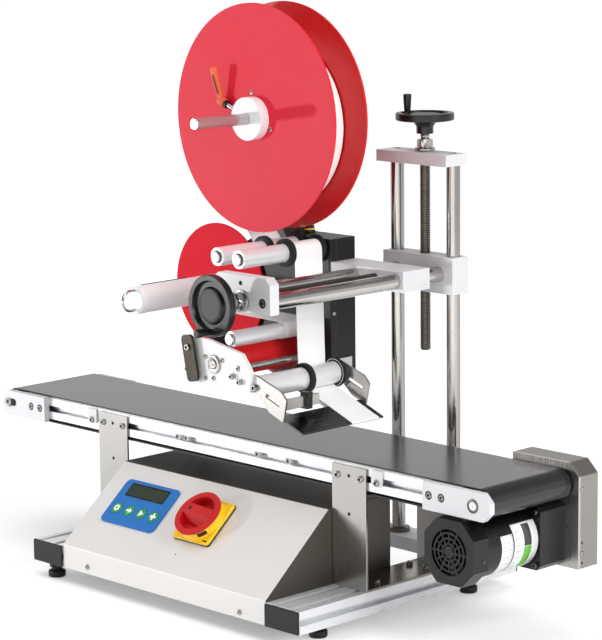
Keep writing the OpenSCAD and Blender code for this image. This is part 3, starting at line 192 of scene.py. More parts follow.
LONG_X, LONG_Y, LONG_Z = (0.02, 1, 1), (1, 0.02, 1), (1, 1, 0.02)
RINGS_Y, RINGS_Z = (0.02, 1, 0.02), (0.02, 0.02, 1)
EVEN = (1, 1, 1)
# Edge colours for the materials below whose edges lighten in patches: partly rubbed coating, partly painted
# highlight where edges catch the light.
GREY_EDGE, RED_EDGE = lin(74, 73, 72), lin(236, 40, 62)
M = {
    "rail": finish_of("rail_aluminium", (0.8, 0.81, 0.83, 1), 0.3, 1, 1500, LONG_X, 0.02, 9, 0.04),
    "profile": finish_of("profile_aluminium", (0.82, 0.83, 0.85, 1), 0.32, 0.5, 1500, LONG_Y,
                         0.02, 9, 0.04),
    # A paler copy of the plate aluminium for the side plate: painted light.
    "plate_painted_light": finish_of("plate_aluminium_painted_light", (0.86, 0.86, 0.875, 1), 0.55, 0.3, 2600, EVEN, 0.06, 20,
                            0.02, edge_wear_and_highlight=(0.93, 0.93, 0.94, 1)),
    "plate": finish_of("plate_aluminium", (0.74, 0.74, 0.76, 1), 0.58, 0.45, 2600, EVEN, 0.08, 20, 0.03,
                       edge_wear_and_highlight=(0.86, 0.86, 0.88, 1)),
    "roller": finish_of("roller_aluminium", (0.86, 0.86, 0.88, 1), 0.36, 0.42, 900, RINGS_Y, 0.015,
                        20, 0.02, 0.04),
    "mandrel": finish_of("mandrel_aluminium", (0.9, 0.9, 0.91, 1), 0.4, 0.15, 900, RINGS_Y, 0.015,
                         20, 0.02, 0.04),
    "shaft": finish_of("shaft_steel", (0.52, 0.505, 0.5, 1), 0.24, 0.72, 900, RINGS_Y, 0.003,
                       20, 0.03, 0.02),
    "black_alu": finish_of("black_aluminium", lin(19, 18, 19), 0.42, 0, 2400, EVEN, 0.06, 18, 0.2, ior=1.42,
                           edge_wear_and_highlight=GREY_EDGE),
    "chrome": finish_of("ground_steel", (0.36, 0.345, 0.33, 1), 0.15, 1, 900, RINGS_Z, 0.015,
                        9, 0.06, 0.04),
    "chrome_y": finish_of("ground_steel_y", (0.55, 0.535, 0.52, 1), 0.16, 1, 900, RINGS_Y, 0.015,
                          9, 0.06, 0.04),
    "screw": finish_of("screw_steel", (0.15, 0.135, 0.115, 1), 0.36, 1, 1200, EVEN, 0.06, 30, 0.2),
    "bolt": finish_of("bolt_steel", (0.42, 0.405, 0.39, 1), 0.26, 1, 1800, EVEN, 0.04, 60, 0.1),
    "sheet": finish_of("sheet_steel", (0.53, 0.515, 0.49, 1), 0.3, 1, 1500, LONG_Z, 0.012, 6, 0.05, 0.05),
    # Bracket faces that look sideways, up or down take a darker colour: painted shade.
    "bracket": finish_of("bracket_steel", (0.52, 0.508, 0.488, 1), 0.22, 1, 1500, LONG_Z, 0.012, 6, 0.05,
                         0.05, side=(0.24, 0.225, 0.2, 1)),
    "cover": finish_of("cover_steel", (0.33, 0.318, 0.296, 1), 0.4, 1, 2600, LONG_Z, 0.012, 6, 0.05, 0.025,
                       edge_wear_and_highlight=(0.52, 0.51, 0.49, 1)),
    # Console faces that look sideways, up or down take a near-black colour: painted shade.
    "console": finish_of("console_sheet", (0.8, 0.785, 0.77, 1), 0.48, 0.3, 1700, LONG_X, 0.012, 5, 0.02,
                         0.04, side=(0.13, 0.12, 0.105, 1)),
    "dark_steel": finish_of("dark_steel", (0.16, 0.15, 0.145, 1), 0.2, 1, 700, LONG_Y, 0.05, 12, 0.15),
    "lever": finish_of("lever_steel", (0.052, 0.047, 0.04, 1), 0.36, 1, 700, LONG_Z, 0.07, 25, 0.15),
    "rubber": finish_of("black_rubber", lin(17, 17, 18), 0.58, 0, 1500, EVEN, 0.15, 40, 0.2, ior=1.45),
    "belt": finish_of("belt_rubber", lin(36, 35, 38), 0.22, 0, 1800, EVEN, 0.012, 5, 0.05, 0.015),
    "red_rubber": finish_of("red_rubber", lin(214, 16, 20), 0.42, 0, 800, RINGS_Y, 0.05, 25, 0.06),
    "black": finish_of("black_plastic", lin(16, 16, 17), 0.3, 0, 1800, EVEN, 0.1, 30, 0.15, ior=1.45,
                       edge_wear_and_highlight=GREY_EDGE),
    "grey": finish_of("grey_plastic", lin(25, 25, 27), 0.4, 0, 1800, EVEN, 0.08, 30, 0.1, ior=1.45),
    "motor": finish_of("motor_black", lin(12, 13, 16), 0.3, 0, 1500, EVEN, 0.12, 22, 0.15, ior=1.45,
                       edge_wear_and_highlight=GREY_EDGE),
    "blue": finish_of("keypad_blue", lin(30, 112, 190), 0.5, 0, 2400, EVEN, 0.05, 30, 0.04, ior=1.4),
    "green": finish_of("key_green", lin(30, 150, 84), 0.3, 0, 1800, EVEN, 0.05, 60, 0.05),
    "white_ink": finish_of("white_ink", lin(244, 246, 246), 0.45, 0, 2000, EVEN, 0.04, 60, 0.02),
    "lcd": finish_of("display_glass", lin(42, 56, 38), 0.32, 0, 300, EVEN, 0.0, 30, 0.08, 0.02, ior=1.4),
    "yellow": finish_of("switch_yellow", lin(255, 206, 18), 0.4, 0, 1600, EVEN, 0.04, 30, 0.03,
                        edge_wear_and_highlight=lin(255, 226, 96)),
    "switch_red": finish_of("switch_red", lin(196, 12, 18), 0.5, 0, 1500, EVEN, 0.04, 25, 0.05, ior=1.42),
    "board": finish_of("board_green", (0.02, 0.13, 0.05, 1), 0.4, 0, 600, EVEN, 0.2, 90, 0.3),
    "acrylic": finish_of("red_acrylic", lin(225, 15, 50), 0.52, 0, 1100, EVEN, 0.015, 5, 0.03, 0.04,
                         ior=1.42, edge_wear_and_highlight=RED_EDGE),
    "acrylic_low": finish_of("red_acrylic_low", lin(228, 10, 42), 0.6, 0, 1100, EVEN, 0.015, 5, 0.03, 0.04,
                             ior=1.28, edge_wear_and_highlight=RED_EDGE),
    # A darker copy of the red acrylic for the back flange: painted shade inside the reel.
    "acrylic_back": finish_of("red_acrylic_back_painted_shade", lin(204, 12, 16), 0.42, 0, 1100, EVEN, 0.015,
                              5, 0.04, 0.04),
    "paper": finish_of("paper_white", lin(252, 252, 251), 0.55, 0, 1300, EVEN, 0.04, 30, 0.01),
    "white": finish_of("white_plastic", lin(238, 239, 241), 0.42, 0, 1400, RINGS_Y, 0.06, 25, 0.02),
    "orange": finish_of("orange_plastic", lin(226, 96, 58), 0.42, 0, 1500, EVEN, 0.14, 30, 0.06,
                        edge_wear_and_highlight=lin(240, 132, 92)),
    # Near-black finish: painted shade in holes, screw sockets, counterbores and slots; also the dark motor
    # seam, the switch mark and the fan floor.
    "hole": finish_of("hole_dark", lin(14, 13, 13), 0.7, 0, 900, EVEN, 0.1, 30, 0.2),
    "window": finish_of("lock_window", lin(70, 12, 12), 0.5, 0, 900, EVEN, 0.05, 30, 0.15),
    "label_green": finish_of("label_green", lin(104, 184, 56), 0.45, 0, 1500, EVEN, 0.04, 40, 0.04),
    "label_dark": finish_of("label_dark", lin(66, 66, 62), 0.5, 0, 1500, EVEN, 0.04, 40, 0.1),
    "label_grey": finish_of("label_grey", lin(186, 188, 190), 0.5, 0, 1500, EVEN, 0.04, 40, 0.05),
}


# Dressing of the CAD nodes: a material, and where the real piece has broken edges a small rounding
def dress(node, mat, edge=0.0, angle=40):
    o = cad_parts[node]
    if not o.material_slots:
        o.data.materials.append(M[mat])
    for s in o.material_slots:
        s.material = M[mat]
    weld = o.modifiers.new("weld", "WELD")
    weld.merge_threshold = 1e-6
    if edge:
        flat = o.modifiers.new("flat", "DECIMATE")
        flat.decimate_type = "DISSOLVE"
        flat.angle_limit = math.radians(0.3)
        bevel = o.modifiers.new("edge", "BEVEL")
        bevel.width = edge / 1000
        bevel.segments = 2
        bevel.limit_method = "ANGLE"
        bevel.angle_limit = math.radians(angle)
        bevel.use_clamp_overlap = True
    shade = o.modifiers.new("shade", "WEIGHTED_NORMAL")
    shade.keep_sharp = True


DRESS = [
    ("base_profiles", "profile", 0.4), ("console", "console", 0.8), ("keypad", "blue", 0.4),
    ("switch_plate", "yellow", 1.0), ("control_board", "board", 0), ("side_rails", "rail", 0.4),
    ("slider_bed", "sheet", 0), ("conveyor_belt", "belt", 0), ("end_plates", "plate", 0.8),
    ("support_brackets", "bracket", 0.5), ("gearmotor", "motor", 1.6), ("drive_plate", "sheet", 0.4),
    ("drive_cover", "cover", 0.7), ("timing_belt", "rubber", 0), ("cross_plate", "plate", 0.8),
    ("posts", "chrome", 0.6), ("top_plate", "plate", 1.0), ("drive_roller", "chrome_y", 0.5),
    ("tail_roller", "chrome_y", 0.5), ("motor_pulley", "chrome_y", 0.5), ("switch_knob", "switch_red", 1.0),
    ("key_1", "green", 0.4), ("key_2", "green", 0.4), ("key_3", "green", 0.4), ("key_4", "green", 0.4),
    ("lift_handwheel", "black", 0.6), ("lift_grip", "black", 0.4), ("lift_block", "plate", 1.0),
    ("guide_shafts", "chrome_y", 0.5), ("front_block", "plate", 1.0), ("cross_handwheel", "black", 0.6),
    ("cross_grip", "black", 0.4), ("carriage", "plate", 1.0), ("main_plate", "black_alu", 0.8),
    ("head_housing", "black_alu", 1.2), ("head_rods", "chrome_y", 0.5), ("side_plate", "plate_painted_light", 0.6),
    ("peel_frame", "sheet", 0.4), ("peel_plate", "dark_steel", 0), ("label_web", "paper", 0),
    ("feed_motor", "motor", 0.8), ("reel_shaft", "shaft", 0.8), ("back_flange", "acrylic_back", 0.4),
    ("label_roll", "paper", 0.3), ("front_flange", "acrylic", 0.4), ("reel_collar", "white", 0.8),
    ("guide_roller_1", "roller", 0.5), ("guide_roller_2", "roller", 0.5), ("idler_roller", "roller", 0.5),
    ("lower_roller", "roller", 0.5), ("feed_roller", "red_rubber", 0.5), ("pinch_roller", "rubber", 0.5),
    ("pressure_lever", "lever", 0.8), ("rewind_flange", "acrylic_low", 0.4),
    ("rewind_mandrel", "mandrel", 0.6), ("rewind_clip", "chrome_y", 0),
]
for name, mat, edge in DRESS:
    dress(name, mat, edge)


# Mesh tools for the pieces that the solids leave out
def piece(name, verts, faces, mat, body, slot, edge=0.0, sharp=35, thick=0.0, dark=None):
    me = bpy.data.meshes.new(name)
    me.from_pydata([row(v) for v in verts], [], faces)
    bm = bmesh.new()
    bm.from_mesh(me)
    # Faces from index dark on take the near-black hole finish: painted shade in screw sockets.
    if dark is not None:
        for i, f in enumerate(bm.faces):
            f.material_index = int(i >= dark)
    bmesh.ops.remove_doubles(bm, verts=bm.verts, dist=1e-6)
    bmesh.ops.dissolve_degenerate(bm, edges=bm.edges, dist=1e-7)
    bmesh.ops.recalc_face_normals(bm, faces=bm.faces)
    for f in bm.faces:
        f.smooth = True
    for e in bm.edges:
        e.smooth = len(e.link_faces) != 2 or e.calc_face_angle() < math.radians(sharp)
    bm.to_mesh(me)
    bm.free()
    me.materials.append(M[mat])
    if dark is not None:
        me.materials.append(M["hole"])
    ob = bpy.data.objects.new(name, me)
    bpy.context.scene.collection.objects.link(ob)
    if thick:
        shell = ob.modifiers.new("thick", "SOLIDIFY")
        shell.thickness = thick / 1000
    if edge:
        bevel = ob.modifiers.new("edge", "BEVEL")
        bevel.width = edge / 1000
        bevel.segments = 2
        bevel.limit_method = "ANGLE"
        bevel.angle_limit = math.radians(40)
        bevel.use_clamp_overlap = True
    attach(ob, body)
    return ob


def basis(axis):
    n = Vector(axis).normalized()
    u = n.orthogonal().normalized() if abs(n.z) > 0.99 else Vector((0, 0, 1)).cross(n).normalized()
    return u, n.cross(u), n


SHAPES = {
    "o": lambda t: 1.0,
    "6": lambda t: math.cos(math.pi / 6) / math.cos(t % (math.pi / 3) - math.pi / 6),
    "+": lambda t: 1.0 if min(t % (math.pi / 2), math.pi / 2 - t % (math.pi / 2)) < 0.3 else 0.42,
}


def spun(name, place, axis, rings, mat, body, slot, n=36, **k):
    """Rings of (radius, height, shape) along an axis, joined into one skin."""
    u, v, w = basis(axis)
    c = Vector(place)
    verts, faces = [], []
    for ring in rings:
        shape = SHAPES[ring[2] if len(ring) > 2 else "o"]
        for i in range(n):
            t = 2 * math.pi * i / n
            r = ring[0] * shape(t)
            verts.append(c + w * ring[1] + u * (r * math.cos(t)) + v * (r * math.sin(t)))
    for j in range(len(rings) - 1):
        for i in range(n):
            a, b = j * n + i, j * n + (i + 1) % n
            faces.append((a, b, b + n, a + n))
    return piece(name, verts, faces, mat, body, slot, **k)


def slab(name, outline, place, u, v, depth, mat, body, slot, **k):
    """A plate with the given outline in the plane of u and v, as thick as depth along their normal."""
    u, v, c = Vector(u), Vector(v), Vector(place)
    w = u.cross(v)
    n = len(outline)
    verts = [c + u * a + v * b for a, b in outline] + [c + u * a + v * b + w * depth for a, b in outline]
    faces = [tuple(range(n))[::-1], tuple(range(n, 2 * n))]
    faces += [(i, (i + 1) % n, n + (i + 1) % n, n + i) for i in range(n)]
    return piece(name, verts, faces, mat, body, slot, **k)


def rounded(w, h, r, n=5):
    pts = []
    for cx, cy, a0 in ((w / 2 - r, h / 2 - r, 0), (r - w / 2, h / 2 - r, 90), (r - w / 2, r - h / 2, 180),
                       (w / 2 - r, r - h / 2, 270)):
        for i in range(n + 1):
            a = math.radians(a0 + 90 * i / n)
            pts.append((cx + r * math.cos(a), cy + r * math.sin(a)))
    return pts


# Screw heads: the socket faces take the near-black hole finish, painted shade.
def cap_screw(name, place, axis, d, h, body, mat="bolt", slot="ground_steel", shape="6"):
    r = d / 2
    return spun(name, place, axis, [(0, 0), (r, 0), (r, h - 0.12 * d), (r - 0.1 * d, h),
                                    (r * 0.56, h, shape), (r * 0.52, h * 0.45, shape), (0, h * 0.45)], mat,
                body, slot, 24, dark=4 * 24)


def pan_screw(name, place, axis, d, h, body, mat="bolt", slot="ground_steel", shape="+"):
    r = d / 2
    return spun(name, place, axis, [(0, 0), (r, 0), (r, h * 0.35), (r * 0.86, h * 0.75), (r * 0.6, h),
                                    (r * 0.5, h, shape), (r * 0.4, h * 0.45, shape), (0, h * 0.4)], mat,
                body, slot, 32, dark=5 * 32)


# A shallow near-black dish where a hole is: painted shade standing in for the open hole.
def painted_hole_shade(name, place, axis, d, body, slot):
    r = d / 2
    return spun(name, place, axis, [(0, 0.02), (r * 0.92, 0.05), (r, 0.12), (r * 1.12, 0.1), (r * 1.14, 0)],
                "hole", body, slot, 20)


def thread(name, place, axis, length, r_out, r_in, pitch, mat, body, slot, seg=22):
    """A right-hand trapezoidal thread with plain ends."""
    u, v, w = basis(axis)
    c = Vector(place)
    form = [(r_in, 0.0), (r_in, 0.22), (r_out, 0.42), (r_out, 0.78), (r_in, 1.0)]
    steps = int((length / pitch - 1) * seg)
    verts, faces = [], []
    for j in range(steps + 1):
        t = 2 * math.pi * j / seg
        for r, f in form:
            verts.append(c + w * (pitch * (j / seg + f)) + u * (r * math.cos(t)) + v * (r * math.sin(t)))
    m = len(form)
    for j in range(steps):
        for i in range(m - 1):
            a = j * m + i
            faces.append((a, a + m, a + m + 1, a + 1))
    first = len(verts)
    for h, r in ((0, 0), (0, r_in * 0.9), (0.6, r_in), (pitch, r_in)):
        for base, sign in ((0, 1), (length, -1)):
            for i in range(seg):
                t = 2 * math.pi * i / seg
                verts.append(c + w * (base + sign * h) + u * (r * math.cos(t)) + v * (r * math.sin(t)))
    for k in range(3):
        for e in range(2):
            for i in range(seg):
                a, b = first + (2 * k + e) * seg + i, first + (2 * k + e) * seg + (i + 1) % seg
                faces.append((a, b, b + 2 * seg, a + 2 * seg))
    return piece(name, verts, faces, mat, body, slot, sharp=50)


FRONT, BACK, UP, RIGHT, LEFT = (0, -1, 0), (0, 1, 0), (0, 0, 1), (1, 0, 0), (-1, 0, 0)
AX, AY, AZ = (1, 0, 0), (0, 1, 0), (0, 0, 1)

# Base: feet, end caps, bracket bolts
foot_rings = [(0, 0), (10.6, 0), (11.4, 0.8), (11.8, 2.4), (11.9, 7), (11.2, 8.4), (8.6, 9.2), (7.2, 10),
              (7.2, 12.4), (9.6, 12.6, "6"), (9.8, 13.2, "6"), (9.8, 18.6, "6"),
              (9.2, 19.4, "6"), (0, 19.9)]
rear = PROFILE_LEN - FOOT_INSET
feet = [(0, FOOT_INSET), (0, rear), (-BASE_PITCH, FOOT_INSET_LEFT), (-BASE_PITCH, rear)]
for i, (x, y) in enumerate(feet):
    foot = spun("foot_%d" % i, (x + PROFILE_W / 2, y, -FOOT_H), AZ, foot_rings, "rubber", "base",
                "black_rubber", 48)
    if i == 0:
        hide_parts("feet")
for i, x in enumerate((0, -BASE_PITCH)):
    for end, y, side in (("front", 0, AX), ("back", PROFILE_LEN, LEFT)):
        slab("end_cap_%s_%d" % (end, i), rounded(PROFILE_W - 0.6, PROFILE_H - 0.6, 1.6),
             (x + PROFILE_W / 2, y, PROFILE_H / 2), side, AZ, 3.2, "black", "base",
             "black_plastic", edge=1.0)
    for j, (y, dx) in enumerate(((150, 15), (150, 45), (242, 15), (242, 45))):
        cap_screw("bracket_foot_%d_%d" % (i, j), (x + dx, y, 33), AZ, 9, 5, "base")

# Console: lip screws, display, key signs, switch gasket and marks
pan_screw("lip_screw_0", (-344.7, 0, 10), FRONT, 7.5, 2.2, "base")
pan_screw("lip_screw_1", (-47.7, 0, 8.3), FRONT, 7.5, 2.2, "base")
SX, SV = Vector((1, 0, 0)), Vector((0, math.cos(SLOPE), math.sin(SLOPE)))
slab("display_bezel", rounded(77, 22, 2), on_slope(DISPLAY_X, DISPLAY_V, 1.98), SX, SV, 0.5, "black", "base",
     "black_plastic", edge=0.2)
slab("display_glass", rounded(72.5, 17, 0.8), on_slope(DISPLAY_X, DISPLAY_V, 2.3), SX, SV, 0.45, "lcd",
     "base", "black_plastic", edge=0.15)


def gear_sign(n=8, r0=4.0, r1=5.6):
    return [((r1 if i % 4 in (1, 2) else r0) * math.cos(2 * math.pi * i / (4 * n)),
             (r1 if i % 4 in (1, 2) else r0) * math.sin(2 * math.pi * i / (4 * n))) for i in range(4 * n)]


arrow = [(-5, -1.7), (0.2, -1.7), (0.2, -4.6), (5.6, 0), (0.2, 4.6), (0.2, 1.7), (-5, 1.7)]
triangle = [(-3.6, -5), (5.4, 0), (-3.6, 5)]
plus = [(-1.8, -5.4), (1.8, -5.4), (1.8, -1.8), (5.4, -1.8), (5.4, 1.8), (1.8, 1.8), (1.8, 5.4), (-1.8, 5.4),
        (-1.8, 1.8), (-5.4, 1.8), (-5.4, -1.8), (-1.8, -1.8)]
for i, (body, sign) in enumerate((("key_menu", gear_sign()), ("key_back", arrow), ("key_next", triangle),
                                  ("key_plus", plus))):
    at = on_slope(KEYS_X + (i - 1.5) * KEY_PITCH, KEYS_V, 2.38)
    slab("key_sign_%d" % i, sign, at, SX, SV, 0.22, "white_ink", body, "key_green", edge=0.08)
slab("key_sign_hub", [(1.7 * math.cos(a * math.pi / 9), 1.7 * math.sin(a * math.pi / 9)) for a in range(18)],
     on_slope(KEYS_X - 1.5 * KEY_PITCH, KEYS_V, 2.58), SX, SV, 0.08, "green", "key_menu", "key_green")
slab("switch_gasket", rounded(68.6, 68.6, 4.5), on_slope(SWITCH_X, SWITCH_V, 0), SX, SV, 2.2, "black",
     "base", "black_plastic", edge=0.4)
slab("switch_mark", rounded(8.5, 1.8, 0.3), on_slope(-153.3, 55.4, 5.98), SX, SV, 0.15, "hole", "base",
     "black_plastic")
SN = SX.cross(SV)


def on_collar(name, a0, a1, h0, h1, mat, lift):
    """A curved plate on the cone of the switch collar."""
    n = 14
    verts, faces = [], []
    for i in range(n + 1):
        a = math.radians(a0 + (a1 - a0) * i / n)
        for h in (h0, h1):
            r = 32.5 - 2.0 * (h - 5) / 12 + lift
            middle = Vector(on_slope(SWITCH_X, SWITCH_V, h))
            verts.append(middle + SX * (r * math.cos(a)) + SV * (r * math.sin(a)))
    for i in range(n):
        faces.append((2 * i, 2 * i + 1, 2 * i + 3, 2 * i + 2))
    return piece(name, verts, faces, mat, "base", "switch_yellow", thick=0.1)


on_collar("lock_window", -60, -35, 8.5, 14.2, "window", 0.16)
on_collar("lock_window_frame", -62.5, -32.5, 7.4, 15.2, "yellow", 0.1)
painted_hole_shade("knob_hole", on_slope(-197, 89.5, 21.98), SN, 4.6, "main_switch", "switch_red")
painted_hole_shade("console_hole", on_slope(-192.2, 29.4, 0), SN, 1.8, "base", "sheet_steel")

# Conveyor: bracket screws, rail clips, end plate screws, tension slots, slot nuts
for i, x in enumerate((0, -BASE_PITCH)):
    for j, dx in enumerate((10.3, 50.6)):
        pan_screw("bracket_screw_%d_%d" % (i, j), (x + dx, BRACKET_FRONT, 174), FRONT, 9, 3,
                  "base", shape="6")
        pan_screw("bracket_screw_back_%d_%d" % (i, j), (x + dx, BRACKET_BACK, 174), BACK, 9, 3,
                  "base", shape="6")
    for j, z in enumerate((175, 126)):
        painted_hole_shade("bracket_hole_%d_%d" % (i, j), (x + PROFILE_W / 2, BRACKET_FRONT, z), FRONT, 4.2, "base",
                  "sheet_steel")
for i, x in enumerate((77.5, -471)):
    arc = [math.radians(a) for a in range(190, 360, 20)]
    clip = [(-9.5, 10.5), (-9.5, -6)] + [(9.5 * math.cos(a), -6 + 4.5 * math.sin(a)) for a in arc]
    clip += [(9.5, -6), (9.5, 10.5)]
    slab("rail_clip_%d" % i, clip, (x, 120, 178.5), AX, AZ, 2.4, "plate", "base",
         "plate_aluminium", edge=0.5)
    pan_screw("rail_clip_screw_%d" % i, (x, 117.6, 173.5), FRONT, 9, 3, "base", shape="6")
for i, x in enumerate((171.4, 191.9, -598.1, -578.8)):
    # Near-black ring around each screw: painted shade in the counterbore.
    spun("end_screw_seat_%d" % i, (x, END_FRONT, RAIL_Z), FRONT,
         [(3.2, 0), (5.4, 0), (5.4, 0.12), (4.3, 0.16), (4.2, 0.02)], "hole", "base", "plate_aluminium", 28)
    cap_screw("end_screw_%d" % i, (x, END_FRONT, RAIL_Z), FRONT, 7.8, 0.9, "base")
for i, x in enumerate((-598.1, -578.8)):
    cap_screw("end_screw_back_%d" % i, (x, END_BACK, RAIL_Z), BACK, 7.8, 0.9, "base")
for i, (y, side, out) in enumerate(((END_FRONT, AX, FRONT), (END_BACK, LEFT, BACK))):
    # The slot is a thin near-black sheet: painted shade of the open slot.
    slab("tension_slot_%d" % i, rounded(25, 10.4, 5.15, 8), (TAIL_X + 5, y, RAIL_Z), side, AZ, 0.25, "hole",
         "base", "plate_aluminium")
    cap_screw("tension_bolt_%d" % i, (TAIL_X, y, RAIL_Z), out, 9.4, 1.6, "base")
    spun("tension_washer_%d" % i, (TAIL_X, y, RAIL_Z), out, [(4.5, 0.2), (6.4, 0.2), (6.4, 0.7), (4.5, 0.8)],
         "bolt", "base", "ground_steel", 32)
spun("drive_ring", (DRIVE_X, END_FRONT, DRIVE_Z), FRONT,
     [(6.3, 0), (8.8, 0), (8.8, 0.5), (8.2, 0.9), (6.8, 0.9), (6.3, 0.5), (6.3, 0)], "screw", "base",
     "screw_steel", 48)
spun("drive_shaft_end", (DRIVE_X, END_FRONT + 1, DRIVE_Z), FRONT,
     [(5.9, 0), (5.9, 0.9), (5.1, 1.5), (1.6, 1.5), (0.5, 0.7), (0, 0.7)], "roller", "conveyor_drive",
     "ground_steel", 40)
for i, x in enumerate((-296, -279, -141, -83)):
    slab("slot_nut_%d" % i, rounded(11, 6.8, 0.8), (x, 123, RAIL_Z), AX, AZ, 1.6, "bolt", "base",
         "ground_steel", edge=0.4)
    painted_hole_shade("slot_nut_hole_%d" % i, (x - 1.5, 121.4, RAIL_Z), FRONT, 3.6, "base", "ground_steel")

# Drive: cover screws, fan with its guard, motor screws and plain labels
for i, z in enumerate((168.5, 88)):
    pan_screw("cover_screw_%d" % i, (COVER_RIGHT, COVER_Y, z), RIGHT, 6.5, 1.8, "base")
for i, z in enumerate((102, 76)):
    painted_hole_shade("cover_hole_%d" % i, (COVER_RIGHT, COVER_Y, z), RIGHT, 3, "base", "sheet_steel")
for i, (x, z) in enumerate(((173, 77), (264, 77), (173, 194), (248, 194))):
    pan_screw("cover_back_screw_%d" % i, (x, 309, z), BACK, 6.5, 1.8, "base")
spun("fan_floor", (MOTOR_X, FAN_Y + FAN_IN, MOTOR_Z), FRONT,
     [(0, 0.05), (FAN_R - 0.4, 0.05), (FAN_R - 0.05, 0.4)], "hole", "base", "motor_black", 64)
for i in range(9):
    a = 2 * math.pi * i / 9
    e = Vector((math.cos(a), 0, math.sin(a)))
    f = Vector((-math.sin(a), 0.45, math.cos(a))).normalized()
    blade = [(6, -0.6), (17, -0.7), (27.4, -0.8), (28, 0.0), (27.4, 0.8), (17, 0.7), (6, 0.6)]
    slab("fan_blade_%d" % i, [(c, 5 * d) for c, d in blade], (MOTOR_X, FAN_Y + 4.2, MOTOR_Z), e, f, 0.8,
         "motor", "base", "motor_black")
for i, r in enumerate((10.5, 17.2, 23.8, 29.8)):
    spun("fan_ring_%d" % i, (MOTOR_X, FAN_Y, MOTOR_Z), FRONT,
         [(r - 1.3, -2.6), (r + 1.3, -2.6), (r + 1.3, -0.3), (r + 0.9, 0.1), (r - 0.9, 0.1), (r - 1.3, -0.3),
          (r - 1.3, -2.6)], "motor", "base", "motor_black", 64)
for i in range(12):
    a = 2 * math.pi * i / 12
    r0, r1 = (10, 24) if i % 2 else (5, 31.2)
    e = Vector((math.cos(a), 0, math.sin(a)))
    f = Vector((-math.sin(a), 0, math.cos(a)))
    slab("fan_spoke_%d" % i, [(r0, -1.1), (r1, -1.1), (r1, 1.1), (r0, 1.1)], (MOTOR_X, FAN_Y + 2.2, MOTOR_Z),
         e, f, 2.2, "motor", "base", "motor_black", edge=0.35)
spun("fan_hub", (MOTOR_X, FAN_Y, MOTOR_Z), FRONT,
     [(0, -6.9), (4.4, -6.9), (4.6, -2.6), (7.6, -2.6), (7.6, -0.4), (7.2, 0.1), (5.4, 0.3), (4.8, -0.2),
      (0, -0.2)], "motor", "base", "motor_black", 40)
for i, a in enumerate((45, 135, 225, 315)):
    x, z = MOTOR_X + 47.2 * math.cos(math.radians(a)), MOTOR_Z + 47.2 * math.sin(math.radians(a))
    cap_screw("gearhead_screw_%d" % i, (x, 226, z), FRONT, 7, 4.5, "base", "screw", "screw_steel")
pan_screw("fan_cover_screw_0", (250, 124, 104), RIGHT, 5, 1.4, "base", "screw", "screw_steel")
pan_screw("fan_cover_screw_1", (210, 124, 152), UP, 5, 1.4, "base", "screw", "screw_steel")


def on_motor(name, y0, y1, a0, a1, mat, lift):
    """A curved plate on the motor's case."""
    r = MOTOR_R + lift
    n = 26
    verts, faces = [], []
    for i in range(n + 1):
        a = math.radians(a0 + (a1 - a0) * i / n)
        for y in (y0, y1):
            verts.append((MOTOR_X + r * math.cos(a), y, MOTOR_Z + r * math.sin(a)))
    for i in range(n):
        faces.append((2 * i, 2 * i + 1, 2 * i + 3, 2 * i + 2))
    return piece(name, verts, faces, mat, "base", "motor_black", thick=0.1)


on_motor("label_small", 157, 178, -74, 24, "white_ink", 0.2)
on_motor("label_large", 180, 223, -74, 40, "white_ink", 0.2)
on_motor("label_patch", 198, 211, -54, -5, "label_green", 0.34)
on_motor("label_block", 198, 211, -4, 36, "label_dark", 0.34)
for i in range(8):
    on_motor("label_line_%d" % i, 183, 195 - 3 * (i % 3), -60 + 12 * i, -58.6 + 12 * i, "label_grey", 0.34)
for i in range(6):
    on_motor("label_row_%d" % i, 161, 174 - 3 * (i % 2), -60 + 14 * i, -58.8 + 14 * i, "label_grey", 0.34)
on_motor("motor_seam", 224, 225, -180, 180, "hole", 0.12)

# Column: post flanges, top plate screws, lift screw, lift wheel details
for i, x in enumerate((-78, 21)):
    spun("post_flange_%d" % i, (x, POST_Y, 48), AZ,
         [(9.05, 0), (15, 0), (15, 4.6), (14.2, 5.4), (9.05, 5.4)], "screw", "base", "screw_steel", 48)
    cap_screw("top_screw_%d" % i, (x, POST_Y, 561), AZ, 11, 0.8, "base", "bolt")
lift_rod = thread("lift_thread", (COLUMN_X, POST_Y, 300), AZ, 245.5, 7.0, 5.9, 3.0, "screw", "lift_wheel",
                  "screw_steel")
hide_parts("lift_screw")
spun("lift_journal", (COLUMN_X, POST_Y, 545), AZ,
     [(5, 0), (5, 32), (5.6, 33), (6.2, 36), (5, 38.5), (5, 60)], "bolt", "lift_wheel", "screw_steel", 36)
spun("lift_washer", (COLUMN_X, POST_Y, 561.5), AZ,
     [(5, 0), (12.6, 0), (13.5, 0.8), (13.5, 3.2), (12.6, 4), (5, 4)], "bolt", "lift_wheel",
     "screw_steel", 48)
spun("lift_nut", (COLUMN_X, POST_Y, 565.5), AZ,
     [(5, 0), (9.4, 0), (10.4, 1.2, "6"), (10.4, 9.6, "6"), (9.2, 10.8), (7, 11.2), (5, 11)], "bolt",
     "lift_wheel", "screw_steel", 48)
spun("lift_set_screw", (COLUMN_X - 10.4, POST_Y, 590), LEFT,
     [(0, 0), (2.4, 0), (2.4, 2.6), (2.0, 3), (1.3, 3, "6"), (1.2, 1.8, "6"), (0, 1.8)], "black",
     "lift_wheel", "black_plastic", 24)


def boss_cap(name, place, axis, body):
    spun(name, place, axis, [(20.4, -0.2), (20.4, 0.3), (19.6, 0.7), (18.4, 0.7), (18.2, 0.3), (17.2, 0.3),
                             (17.0, 0.7), (0, 0.7)], "grey", body, "black_plastic", 56)


